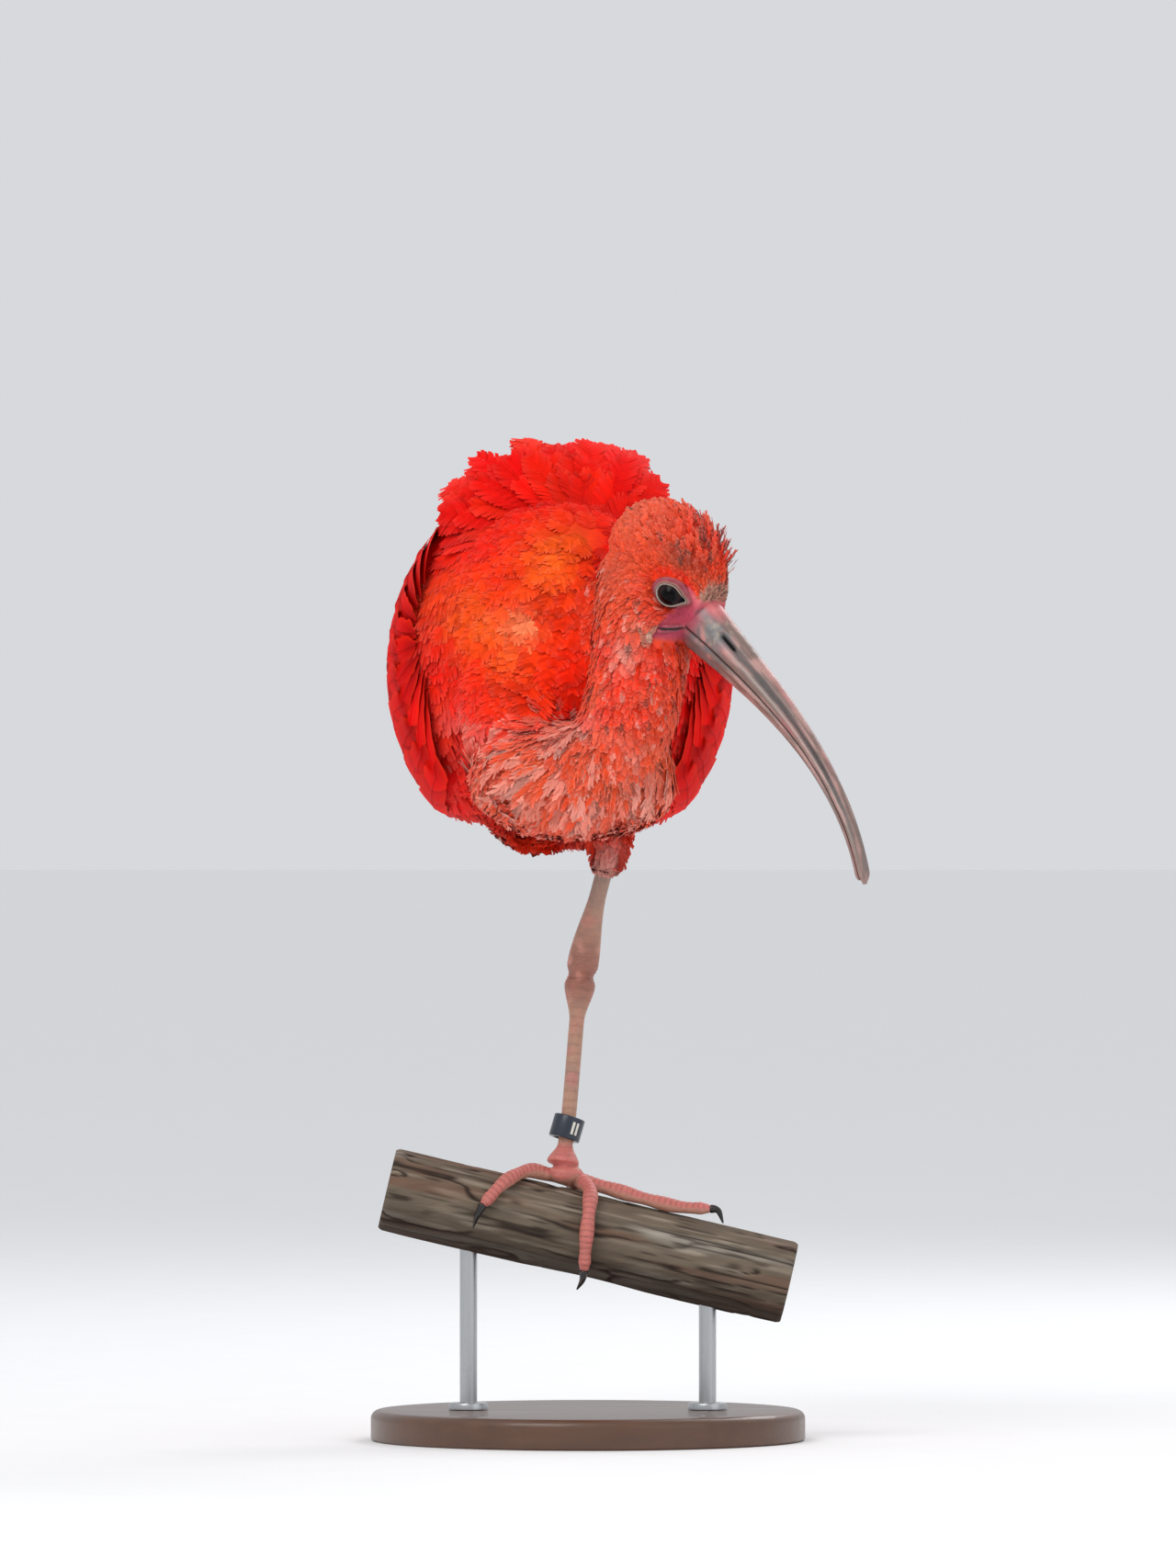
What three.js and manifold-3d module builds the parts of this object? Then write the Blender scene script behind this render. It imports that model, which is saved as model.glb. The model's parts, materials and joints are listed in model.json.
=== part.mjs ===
// A life-size scarlet ibis that rests on its left leg on a cut length of branch, with its neck folded against its breast
// and its head turned to its left. Two rods hold the branch over a round base.
// Units are millimetres. +Z is up, the bird faces -Y and its left side is +X. The origin is the middle of the base's
// underside.
import * as THREE from "three";
import { mergeVertices } from "three/addons/utils/BufferGeometryUtils.js";
import Module from "manifold-3d";

const wasm = await Module();
wasm.setup();

const { Vector3, Matrix4 } = THREE;
const { degToRad, lerp, smoothstep } = THREE.MathUtils;
const at = (x, y, z) => new Vector3(x, y, z);

// The gap that touching pieces keep.
const GAP = 0.3;

// The stand: a round base and two rods up to the underside of the branch.
const baseRadius = 100;
const baseHeight = 14;
const baseEdge = 4;
const rodRadius = 4;
const rodSpread = 110;
const collarRadius = 9;
const collarHeight = 3;

// The branch runs down to the bird's left.
const branchRadius = 19.5;
const branchLength = 190;
const branchSlope = degToRad(13.2);
const branchMiddle = at(0, 0, 93.7);
const barkDepth = 0.9;

// The torso is an egg round a line that falls towards the tail. s runs backwards along that line from the middle.
const torsoMiddle = at(-13, 20, 355);
const torsoTilt = degToRad(16);
const torsoHalfWidth = 73;
const torsoHalfHeight = 86;
const torsoFront = 88;
const torsoRear = 150;
const rumpShare = 0.14;

// The folded wing lies on the torso's side, from the bend of the wing to the tips over the tail.
const wingFront = -62;
const wingArmEnd = 118;
const wingTip = 204;
const wingDepth = 6.5;
const wingBedShare = 0.24;
const vaneThickness = 0.8;

// The tail's twelve feathers fan out behind the rump.
const tailFeathers = 12;
const tailRoot = 132;
const tailLength = 88;
const tailSpread = degToRad(11);
const tailFeatherWidth = 20;
const tailLayer = 1.3;

// The mantle is the hump of loose back feathers behind the neck.
const mantleFront = -52;
const mantleRear = 96;
const mantleHump = 13;

// The head is an egg with a face that narrows to the bill. Its own frame has x forward, y to its left and z up.
const headMiddle = at(36, -72, 403);
const headYaw = degToRad(50);
const headPitch = degToRad(35);
const craniumHalf = at(32, 23, 26);
const faceEnd = { forward: 34, brow: 3, chin: -25.5, halfWidth: 10.5 };
const eyeRadius = 7;
const eyePlace = at(19.5, 12.5, -4);
const lidRadius = 7.4;
const lidThickness = 1.2;

// The bill leaves the face and bends down as it goes, more and more towards its tip.
const billLength = 153;
const billDroopStart = degToRad(4);
const billDroopEnd = degToRad(44);
const billDrop = -11.5;
const billRoot = { halfWidth: 9.4, halfHeight: 12.6 };
const billEnd = { halfWidth: 3, halfHeight: 3.4 };
const mouthShare = -0.18;
const grooveRadius = 0.9;

// The legs: the left one stands, the right one is drawn up under the belly.
const hockRadius = 7.4;
const shankRadius = 3.5;
const toeRadius = 3.4;
const clawRadius = 2.1;
const bandRadius = 7.2;
const bandBore = 4.9;
const bandHeight = 10.5;

/** Closed geometry through rings of equally many points, with a fan over each end. */
function skinOver(rings) {
  const sides = rings[0].length;
  const points = rings.flat();
  const faces = [];
  for (let r = 0; r + 1 < rings.length; r++)
    for (let k = 0; k < sides; k++) {
      const [a, b] = [r * sides + k, r * sides + ((k + 1) % sides)];
      faces.push(a, b, b + sides, a, b + sides, a + sides);
    }
  const lastRing = (rings.length - 1) * sides;
  const firstMiddle = points.length;
  points.push(middleOf(rings[0]), middleOf(rings.at(-1)));
  for (let k = 0; k < sides; k++) {
    faces.push(firstMiddle, (k + 1) % sides, k);
    faces.push(firstMiddle + 1, lastRing + k, lastRing + ((k + 1) % sides));
  }
  return geometryOf(points, faces);
}

/** Closed plate between two grids of points with the same rows and columns, both split into triangles alike. */
function plateBetween(top, bottom) {
  const [rows, columns] = [top.length, top[0].length];
  const points = [...top.flat(), ...bottom.flat()];
  const under = rows * columns;
  const faces = [];
  for (let r = 0; r + 1 < rows; r++)
    for (let c = 0; c + 1 < columns; c++) {
      const a = r * columns + c;
      const [b, d, e] = [a + 1, a + columns, a + columns + 1];
      faces.push(a, b, e, a, e, d);
      faces.push(under + a, under + e, under + b, under + a, under + d, under + e);
    }
  const rim = [];
  for (let c = 0; c < columns - 1; c++) rim.push(c);
  for (let r = 0; r < rows - 1; r++) rim.push(r * columns + columns - 1);
  for (let c = columns - 1; c > 0; c--) rim.push((rows - 1) * columns + c);
  for (let r = rows - 1; r > 0; r--) rim.push(r * columns);
  rim.forEach((a, i) => {
    const b = rim[(i + 1) % rim.length];
    faces.push(a, under + a, under + b, a, under + b, b);
  });
  return geometryOf(points, faces);
}

function middleOf(points) {
  const sum = points.reduce((total, p) => total.add(p), at(0, 0, 0));
  return sum.divideScalar(points.length);
}

function geometryOf(points, faces) {
  const geometry = new THREE.BufferGeometry().setFromPoints(points);
  return geometry.setIndex(faces);
}

/** A closed geometry as a solid with its faces pointing out. */
function solid(geometry) {
  const bare = new THREE.BufferGeometry().setAttribute("position", geometry.getAttribute("position"));
  const merged = mergeVertices(bare.setIndex(geometry.getIndex()), 1e-4);
  const triVerts = new Uint32Array(merged.index.array);
  if (signedVolume(merged) < 0)
    for (let i = 0; i < triVerts.length; i += 3)
      [triVerts[i + 1], triVerts[i + 2]] = [triVerts[i + 2], triVerts[i + 1]];
  const vertProperties = merged.attributes.position.array;
  return new wasm.Manifold(new wasm.Mesh({ numProp: 3, vertProperties, triVerts }));
}

function signedVolume(geometry) {
  const position = geometry.getAttribute("position");
  const index = geometry.getIndex();
  const corner = (i) => new Vector3().fromBufferAttribute(position, index.getX(i));
  let volume = 0;
  for (let i = 0; i < index.count; i += 3) volume += corner(i).dot(corner(i + 1).cross(corner(i + 2)));
  return volume;
}

const join = (...bodies) => bodies.flat().reduce((whole, body) => whole.add(body));
const cut = (body, ...tools) => tools.flat().reduce((rest, tool) => rest.subtract(tool), body);

/** The largest closed surface of a body, which leaves out loose scraps and sealed hollows. */
function largest(body) {
  return body.decompose().sort((a, b) => b.volume() - a.volume())[0];
}

/** An egg: a sphere stretched to three half-lengths and placed by a matrix. */
function ellipsoid(half, place, grow = 0, across = 22, around = 14) {
  const sphere = new THREE.SphereGeometry(1, across, around);
  sphere.scale(half.x + grow, half.y + grow, half.z + grow);
  return solid(sphere.applyMatrix4(place));
}

const moved = (v) => new Matrix4().makeTranslation(v.x, v.y, v.z);

/** A round limb along a smooth curve. radiusAt(t) is its radius at share t of the curve. */
function limb(points, radiusAt, { sides = 14, steps = 12, grow = 0, flatten = 1 } = {}) {
  const curve = new THREE.CatmullRomCurve3(points);
  const frames = curve.computeFrenetFrames(steps);
  const rings = [];
  for (let i = 0; i <= steps; i++) {
    const middle = curve.getPointAt(i / steps);
    const radius = radiusAt(i / steps) + grow;
    const ring = [];
    for (let k = 0; k < sides; k++) {
      const turn = (k / sides) * 2 * Math.PI;
      ring.push(
        middle
          .clone()
          .addScaledVector(frames.normals[i], radius * Math.cos(turn))
          .addScaledVector(frames.binormals[i], radius * Math.sin(turn) * flatten),
      );
    }
    rings.push(ring);
  }
  return solid(skinOver(rings));
}

// The torso's own frame.
const across = at(1, 0, 0);
const backwards = at(0, Math.cos(torsoTilt), -Math.sin(torsoTilt));
const over = at(0, Math.sin(torsoTilt), Math.cos(torsoTilt));

/** The torso's girth at s, as a share of its full girth. */
function girth(s, grow = 0) {
  if (s < 0) return Math.sqrt(Math.max(0, 1 - (s / (torsoFront + grow)) ** 2));
  return rumpShare + (1 - rumpShare) * Math.cos((Math.min(s / torsoRear, 1) * Math.PI) / 2);
}

/** A point on the torso at s and at an angle up from its side, lifted off its surface. */
function onTorso(s, angle, lift = 0, side = 1, share = girth(s)) {
  return torsoMiddle
    .clone()
    .addScaledVector(backwards, s)
    .addScaledVector(across, side * Math.cos(angle) * (torsoHalfWidth * share + lift))
    .addScaledVector(over, Math.sin(angle) * (torsoHalfHeight * share + lift));
}

function torsoForm(grow = 0) {
  const [steps, sides] = [13, 22];
  const rings = [];
  for (let i = 1; i <= steps; i++) {
    const s = lerp(-torsoFront - grow, torsoRear + grow, (1 - Math.cos((i / (steps + 1)) * Math.PI)) / 2);
    const ring = [];
    for (let k = 0; k < sides; k++) ring.push(onTorso(s, (k / sides) * 2 * Math.PI, grow, 1, girth(s, grow)));
    rings.push(ring);
  }
  return solid(skinOver(rings));
}

// The neck leaves the torso low on the bird's right, folds below the breast and rises on its left to the head.
const neckLowerPath = [at(-22, -8, 380), at(-34, -32, 352), at(-34, -55, 328), at(-24, -70, 309)];
const neckFoldMiddle = at(-5, -81, 305);
const neckFoldHalf = at(49, 27, 29);
const neckUpperPath = [at(9, -84, 308), at(18, -84, 330), at(23, -80, 355), at(24, -72, 378), at(24, -61, 402)];

const neckLowerForm = (grow = 0) =>
  limb(neckLowerPath, (t) => lerp(31, 25, t), { sides: 14, steps: 5, grow });

const neckFoldForm = (grow = 0) => ellipsoid(neckFoldHalf, moved(neckFoldMiddle), grow, 16, 10);

const neckUpperForm = (grow = 0) =>
  limb(neckUpperPath, (t) => lerp(25, 23.5, t) - 3 * smoothstep(t, 0.75, 1), { sides: 14, steps: 6, grow });

// The head's frame in the model.
const headTurn = new Matrix4()
  .makeTranslation(headMiddle.x, headMiddle.y, headMiddle.z)
  .multiply(new Matrix4().makeRotationZ(headYaw - Math.PI / 2))
  .multiply(new Matrix4().makeRotationY(headPitch));
const inHead = (x, y, z) => at(x, y, z).applyMatrix4(headTurn);

/** The head's half-width, half-height and middle height at a distance forward of its middle. */
function headGirth(forward) {
  const back = Math.sqrt(Math.max(0, 1 - (forward / craniumHalf.x) ** 2));
  if (forward < 0) return { halfWidth: craniumHalf.y * back, halfHeight: craniumHalf.z * back, middle: 0 };
  const narrowing = (1 - Math.cos((forward / faceEnd.forward) * Math.PI)) / 2;
  const brow = lerp(faceEnd.brow, craniumHalf.z, Math.sqrt(1 - (forward / (faceEnd.forward + 2)) ** 2.6));
  const chin = lerp(-craniumHalf.z, faceEnd.chin, narrowing);
  return {
    halfWidth: lerp(craniumHalf.y, faceEnd.halfWidth, narrowing),
    halfHeight: (brow - chin) / 2,
    middle: (brow + chin) / 2,
  };
}

function headForm(grow = 0) {
  const backStations = [0.985, 0.93, 0.82, 0.65, 0.44, 0.2].map((share) => -craniumHalf.x * share);
  const faceStations = [0, 0.2, 0.4, 0.6, 0.8, 1].map((share) => faceEnd.forward * share);
  const rings = [...backStations, ...faceStations].map((forward) => {
    const { halfWidth, halfHeight, middle } = headGirth(forward);
    const reach = forward + grow * Math.sign(forward);
    return Array.from({ length: 18 }, (_, k) => {
      const turn = (k / 18) * 2 * Math.PI;
      return inHead(reach, (halfWidth + grow) * Math.cos(turn), middle + (halfHeight + grow) * Math.sin(turn));
    });
  });
  return solid(skinOver(rings));
}

const eyeForm = (side, grow = 0) =>
  ellipsoid(
    at(eyeRadius, eyeRadius, eyeRadius),
    headTurn.clone().multiply(moved(at(eyePlace.x, side * eyePlace.y, eyePlace.z))),
    grow,
    12,
    8,
  );

/** The two lids of one eye as an almond ring that stands off the face. */
function lids(side) {
  const ring = new THREE.TorusGeometry(lidRadius, lidThickness, 5, 16);
  ring.scale(1, 0.8, 1.6);
  ring.rotateX(Math.PI / 2);
  ring.rotateZ(side * degToRad(-14));
  ring.rotateY(degToRad(24));
  const outwards = side * (eyePlace.y + 4.2);
  return solid(ring.applyMatrix4(headTurn.clone().multiply(moved(at(eyePlace.x, outwards, eyePlace.z)))));
}

/** The line of the mouth behind the bill, as a groove low on each cheek. */
function gape(side) {
  const along = [at(10, 17.5, -15), at(22, 14.2, -13.5), at(36, 9.6, -12.5)];
  const points = along.map((p) => inHead(p.x, side * p.y, p.z));
  return limb(points, () => grooveRadius, { sides: 5, steps: 3 });
}

const billDroop = (t) => lerp(billDroopStart, billDroopEnd, t ** 2.2);

/** A point of the bill's middle line in the head's frame, with the direction that is up there. */
function billLine(t) {
  const steps = 24;
  let [x, z] = [faceEnd.forward + GAP, billDrop];
  for (let i = 0; i < steps; i++) {
    const droop = billDroop(((i + 0.5) / steps) * t);
    x += (Math.cos(droop) * billLength * t) / steps;
    z -= (Math.sin(droop) * billLength * t) / steps;
  }
  return { x, z, upX: Math.sin(billDroop(t)), upZ: Math.cos(billDroop(t)) };
}

/** A point of the bill's surface at share t, at an angle up from its left side. */
function onBill(t, angle, share = 1) {
  const line = billLine(t);
  const blunt = Math.sqrt(1 - 0.88 * smoothstep(t, 0.955, 1) ** 2) * share;
  const halfWidth = lerp(billEnd.halfWidth, billRoot.halfWidth, (1 - t) ** 1.6) * blunt;
  const halfHeight = lerp(billEnd.halfHeight, billRoot.halfHeight, (1 - t) ** 1.85) * blunt;
  const rise = Math.sin(angle) * halfHeight;
  return inHead(line.x + line.upX * rise, Math.cos(angle) * halfWidth, line.z + line.upZ * rise);
}

/** The space round the first length of the bill, which the throat leaves free. */
function billRootSpace() {
  const points = [0, 0.08, 0.16, 0.24].map((t) => inHead(billLine(t).x - 2, 0, billLine(t).z));
  return limb(points, () => billRoot.halfHeight + 2.5, { sides: 12, steps: 4 });
}

/** One half of the bill, above the mouth line or below it, as a closed half-round sweep. */
function mandible(upper) {
  const [steps, half] = [16, 6];
  const mouth = Math.asin(mouthShare);
  const [from, to] = upper ? [mouth, Math.PI - mouth] : [Math.PI - mouth, 2 * Math.PI + mouth];
  const reach = upper ? 1 : 0.985;
  const parting = GAP / 2;
  const rings = [];
  for (let i = 0; i <= steps; i++) {
    const t = (i / steps) * reach;
    const line = billLine(t);
    const lift = headTurn.clone().setPosition(0, 0, 0);
    const away = at(line.upX, 0, line.upZ).applyMatrix4(lift).multiplyScalar(upper ? parting : -parting);
    const ring = [];
    for (let k = 0; k <= half; k++) ring.push(onBill(t, lerp(from, to, k / half)).add(away));
    rings.push(ring);
  }
  return solid(skinOver(rings));
}

/** The nostril and the long groove that runs from it down each side of the upper mandible. */
function nostril(side) {
  const high = degToRad(38);
  const angle = side > 0 ? high : Math.PI - high;
  const slot = limb([0.1, 0.125, 0.15].map((t) => onBill(t, angle, 0.98)), (t) => lerp(1.1, 0.8, t), { sides: 6, steps: 3 });
  const groovePoints = [0.15, 0.35, 0.55, 0.75].map((t) => onBill(t, angle, 1.03));
  return join(slot, limb(groovePoints, () => 0.7, { sides: 3, steps: 5 }));
}

// The legs' lines, from the thigh in the belly down to the foot.
const leftKnee = at(16, -2, 292);
const leftHock = at(-3.4, 20, 213.4);
const leftAnkle = at(-11.6, 0, 127.5);
const rightHock = at(-36, 84, 279);
const rightAnkle = at(-22, -6, 290);

const thighLeftForm = (grow = 0) =>
  limb(
    [at(8, 4, 318), at(9, 3, 292), at(9.5, 3.5, 272), at(9, 5, 258.5)],
    (t) => lerp(30, 7.2, smoothstep(t, 0, 0.92)) - 1.2 * t,
    { sides: 14, steps: 7, grow },
  );

const thighRightForm = (grow = 0) =>
  limb(
    [at(-42, 20, 314), at(-42, 40, 304), at(-39.5, 58, 294), at(-38, 67, 289)],
    (t) => lerp(24, 8, t ** 1.4),
    { sides: 12, steps: 5, grow },
  );

const tibiaLeftForm = (grow = 0) =>
  limb([leftKnee, at(7.6, 5, 262), at(1, 13, 236), leftHock], tibiaRadius, { sides: 10, steps: 10, grow });

const tibiaRightForm = (grow = 0) =>
  limb([at(-39, 58, 293.5), at(-37.5, 71, 287), rightHock], tibiaRadius, { sides: 10, steps: 6, grow });

/** A bare lower tibia swells to the hock at its end. */
function tibiaRadius(t) {
  return 3.9 + (hockRadius - 3.9) * smoothstep(t, 0.5, 0.94) - 1.6 * smoothstep(t, 0.94, 1);
}

/** A tarsus narrows below the hock and swells again where the toes part. */
function tarsusRadius(t) {
  const hock = (hockRadius - shankRadius) * (1 - smoothstep(t, 0.04, 0.24)) - 1.4 * (1 - smoothstep(t, 0, 0.05));
  const foot = (8 - shankRadius) * smoothstep(t, 0.9, 1);
  return shankRadius + hock + foot;
}

const tarsusLeftForm = (grow = 0) =>
  limb([leftHock, at(-5.6, 15, 188), at(-8.8, 5, 150), leftAnkle], tarsusRadius, { sides: 10, steps: 14, grow });

const tarsusRightForm = (grow = 0) =>
  limb([rightHock, at(-32, 58, 283), at(-27, 24, 287), rightAnkle], tarsusRadius, { sides: 8, steps: 9, grow });

// Where the branch's surface is: x along the model, and an angle from its top towards the front.
const branchAlong = at(Math.cos(branchSlope), 0, -Math.sin(branchSlope));
const branchOver = at(Math.sin(branchSlope), 0, Math.cos(branchSlope));

/** A point over the branch, at the model's x on its line, at an angle forwards from its top. */
function onBranch(x, angle, lift) {
  const radius = branchRadius + lift;
  return branchMiddle
    .clone()
    .addScaledVector(branchAlong, x / Math.cos(branchSlope))
    .addScaledVector(branchOver, radius * Math.cos(degToRad(angle)))
    .add(at(0, -radius * Math.sin(degToRad(angle)), 0));
}

function branchForm(grow = 0) {
  const [steps, sides] = [12, 16];
  const rings = [];
  for (let i = 0; i <= steps; i++) {
    const along = (i / steps - 0.5) * (branchLength + 2 * grow);
    const ring = [];
    for (let k = 0; k < sides; k++) {
      const angle = (k / sides) * 360;
      const ridges = Math.sin(degToRad(angle * 7) + along * 0.03) + Math.sin(degToRad(angle * 3) - along * 0.06);
      const swell = 0.8 * Math.sin(along * 0.045 + 1);
      const bark = barkDepth * (ridges * 0.5 - 1) * barkShare(angle) + swell * barkShare(angle);
      ring.push(onBranch(along * Math.cos(branchSlope), angle, bark + grow));
    }
    rings.push(ring);
  }
  return solid(skinOver(rings));
}

/** The bark is worn smooth on top, where the foot grips it. */
function barkShare(angle) {
  const fromTop = Math.min(angle, 360 - angle);
  return smoothstep(fromTop, 95, 150);
}

// The toes of the standing foot, as points over the branch: model x, angle forwards from its top, lift.
const toeLift = toeRadius + GAP;
const standingToes = {
  middle: [
    [-9, 0, 4.6],
    [-4, 24, toeLift],
    [-2.5, 54, toeLift],
    [-1, 86, toeLift],
    [1.6, 124, toeLift + 3.6],
  ],
  outer: [
    [-9, 0, 4.6],
    [4, 4, 4.4],
    [20, 7, toeLift],
    [36, 8, toeLift],
    [50.5, 6, 6],
  ],
  inner: [
    [-13, 0, 4.6],
    [-24, 0, 4.2],
    [-33, 12, toeLift + 0.6],
    [-42, 46, toeLift],
    [-49, 80, toeLift],
  ],
  hallux: [
    [-11, -6, 4.6],
    [-11, -36, toeLift],
    [-9.5, -66, toeLift],
    [-8.5, -96, toeLift],
  ],
};
const standingClaws = {
  middle: [
    [1.6, 124, toeLift + 3.6],
    [1.8, 132, toeLift + 6],
    [0.4, 141, toeLift + 8],
  ],
  outer: [
    [50.5, 6, 6],
    [54, 8, 6.2],
    [57.5, 15, 1.6],
  ],
  inner: [
    [-49, 80, toeLift],
    [-50.5, 94, toeLift],
    [-51, 110, toeLift - 1.2],
  ],
  hallux: [
    [-8.5, -96, toeLift],
    [-8.2, -112, toeLift],
    [-8, -128, toeLift - 1],
  ],
};

// The toes of the drawn-up foot, clenched in the belly: each has its spread across the foot.
const clenchedToes = { middle: -2, outer: 6, inner: -9, hallux: 3 };

const toeThickness = (t) => toeRadius * (1.08 - 0.22 * t) + 0.25 * Math.cos(t * 3 * 2 * Math.PI);
const clawThickness = (t) => lerp(clawRadius, 0.45, t);
const overBranch = (points) => points.map(([x, angle, lift]) => onBranch(x, angle, lift));

function clenchedToe(name) {
  const spread = clenchedToes[name];
  const behind = name === "hallux";
  const reach = behind ? 14 : 25;
  const start = rightAnkle.clone().add(at(spread * 0.3, behind ? 2 : -3, 0));
  const knuckle = start.clone().add(at(spread * 0.7, -reach * 0.55, behind ? -1 : 5));
  const end = start.clone().add(at(spread * 0.9, -reach, behind ? 3 : 3.5));
  const tip = end.clone().add(at(0, -7, 4.5));
  return { toe: [start, knuckle, end], claw: [end, end.clone().add(at(0, -4, 1.5)), tip] };
}

function footLeftForm(grow = 0) {
  const toes = Object.values(standingToes).map((points) =>
    limb(overBranch(points), toeThickness, { sides: 7, steps: 6, grow }),
  );
  const pad = ellipsoid(at(8.4, 7.4, 4.6), moved(leftAnkle.clone().add(at(1.2, -1, -5))), grow, 10, 7);
  return join(pad, toes);
}

function footRightForm(grow = 0) {
  const toes = Object.keys(clenchedToes).map((name) =>
    limb(clenchedToe(name).toe, toeThickness, { sides: 5, steps: 3, grow }),
  );
  return join(ellipsoid(at(7, 6, 5.5), moved(rightAnkle.clone().add(at(0, -3, 0))), grow, 8, 6), toes);
}

/** The hollow in the belly feathers that takes the drawn-up shank and foot. */
function rightLegHollow() {
  const line = [at(-37, 95, 275), at(-32, 58, 283), at(-27, 24, 287), at(-22, -8, 291), at(-22, -48, 297)];
  const girthAt = (t) => 7 + 3.6 * (1 - smoothstep(t, 0.05, 0.25)) + 8.6 * smoothstep(t, 0.55, 0.72);
  return limb(line, girthAt, { sides: 12, steps: 9 });
}

const clawForm = (points, grow = 0) => limb(points, clawThickness, { sides: 6, steps: 4, grow });

/** The lower and upper edge of the folded wing at s, as angles up from the torso's side. */
const wingLow = (s) => degToRad(-50 * smoothstep(s, wingFront, -25) + 80 * smoothstep(s, 40, wingTip));
const wingHigh = (s) => degToRad(2 + 50 * smoothstep(s, wingFront, -20) + 6 * smoothstep(s, 20, 140) - 12 * smoothstep(s, 150, wingTip));

/** The girth of the surface that the wing's feathers lie on, which leaves the rump and passes over the tail. */
function wingBed(s) {
  const clamped = Math.min(s, torsoRear);
  return (girth(clamped) ** 4 + wingBedShare ** 4) ** 0.25 - 0.07 * smoothstep(s, 150, wingTip);
}

/** A point on the wing at s and at share v of the way from its lower edge to its upper one. */
function onWing(side, s, v, lift) {
  return onTorso(s, lerp(wingLow(s), wingHigh(s), v), lift, side, wingBed(s));
}

/** The arm and the roots of the feathers: a shell that follows the torso and rounds off at its edges. */
function wingArm(side) {
  const [rows, columns] = [9, 6];
  const [top, bottom] = [[], []];
  for (let r = 0; r <= rows; r++) {
    const along = r / rows;
    const s = lerp(wingFront, wingArmEnd, along);
    const rounding = Math.min(1, Math.sqrt(along / 0.12)) * Math.min(1, Math.sqrt((1 - along) / 0.5));
    const [over_, under] = [[], []];
    for (let c = 0; c <= columns; c++) {
      const v = c / columns;
      const edge = Math.sqrt(Math.max(0, 1 - (2 * v - 1) ** 6));
      const lift = 1.2 + (wingDepth - 1.2) * rounding * edge;
      over_.push(onWing(side, s, v, lift));
      under.push(onWing(side, s, v, -4));
    }
    top.push(over_);
    bottom.push(under);
  }
  return solid(plateBetween(top, bottom));
}

/**
 * A feather as a thin cambered vane. path(t) gives its middle line, outwards(t) the way its upper face looks.
 * Both edges narrow to the root, and the tip is round or pointed.
 */
function vane(path, outwards, halfWidth, { stations = [0, 0.42, 0.84, 1], roll = 0, point = 0.32, camber = 0.1 } = {}) {
  const [top, bottom] = [[], []];
  for (const t of stations) {
    const middle = path(t);
    const ahead = path(Math.min(t + 0.02, 1)).sub(path(Math.max(t - 0.02, 0))).normalize();
    const out = outwards(t);
    const sideways = new Vector3().crossVectors(out, ahead).normalize();
    const normal = new Vector3().crossVectors(ahead, sideways).normalize();
    sideways.applyAxisAngle(ahead, roll);
    normal.applyAxisAngle(ahead, roll);
    const width = halfWidth * (0.55 + 0.45 * smoothstep(t, 0, 0.4)) * lerp(1, point, smoothstep(t, 0.7, 1));
    const thick = vaneThickness * lerp(1.25, 0.8, t);
    const row = (camber ? [-1, 0, 1] : [-1, 1]).map((k) =>
      middle
        .clone()
        .addScaledVector(sideways, k * width)
        .addScaledVector(normal, k === 0 ? width * camber : 0),
    );
    top.push(row.map((p) => p.clone().addScaledVector(normal, thick / 2)));
    bottom.push(row.map((p) => p.clone().addScaledVector(normal, -thick / 2)));
  }
  return solid(plateBetween(top, bottom));
}

/** A feather of the wing, from s and v at its root to s and v at its tip, lying on the wing's own surface. */
function wingFeather(side, root, tip, halfWidth, options = {}) {
  const place = (t) => onWing(side, lerp(root.s, tip.s, t), lerp(root.v, tip.v, t), lerp(root.lift, tip.lift, t));
  const outwards = (t) => {
    const [s, v] = [lerp(root.s, tip.s, t), lerp(root.v, tip.v, t)];
    return onWing(side, s, v, 12).sub(onWing(side, s, v, 0)).normalize();
  };
  return vane(place, outwards, halfWidth, { roll: side * degToRad(7), ...options });
}

// The tiers of the folded wing, from the tips forward. Each row's feathers share a length and a width.
const wingTiers = [
  { name: "primaries", count: 4, s: [82, 92], v: [0.22, 0.7], length: [84, 112], tipV: [0.2, 0.66], lift: [2.2, 1.5], half: 10, point: 0.3 },
  { name: "secondaries", count: 5, s: [28, 52], v: [0.12, 0.6], length: [66, 70], tipV: [0.1, 0.52], lift: [3, 3.4], half: 13.5, point: 0.5 },
  { name: "tertials", count: 2, s: [36, 38], v: [0.72, 0.9], length: [104, 98], tipV: [0.66, 0.86], lift: [4, 4.4], half: 15, point: 0.42 },
  { name: "greater coverts", count: 5, s: [-6, 12], v: [0.12, 0.88], length: [42, 46], tipV: [0.11, 0.87], lift: [4.2, 6.6], half: 14, point: 0.5, stations: [0, 0.68, 1] },
  { name: "median coverts", count: 5, s: [-32, -20], v: [0.12, 0.87], length: [38, 42], tipV: [0.12, 0.87], lift: [4.4, 7.8], half: 13, point: 0.5, stations: [0, 0.68, 1] },
  { name: "lesser coverts", count: 3, s: [-52, -48], v: [0.2, 0.8], length: [30, 34], tipV: [0.18, 0.82], lift: [4.2, 8], half: 14, point: 0.5, stations: [0, 0.68, 1] },
];

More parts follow.
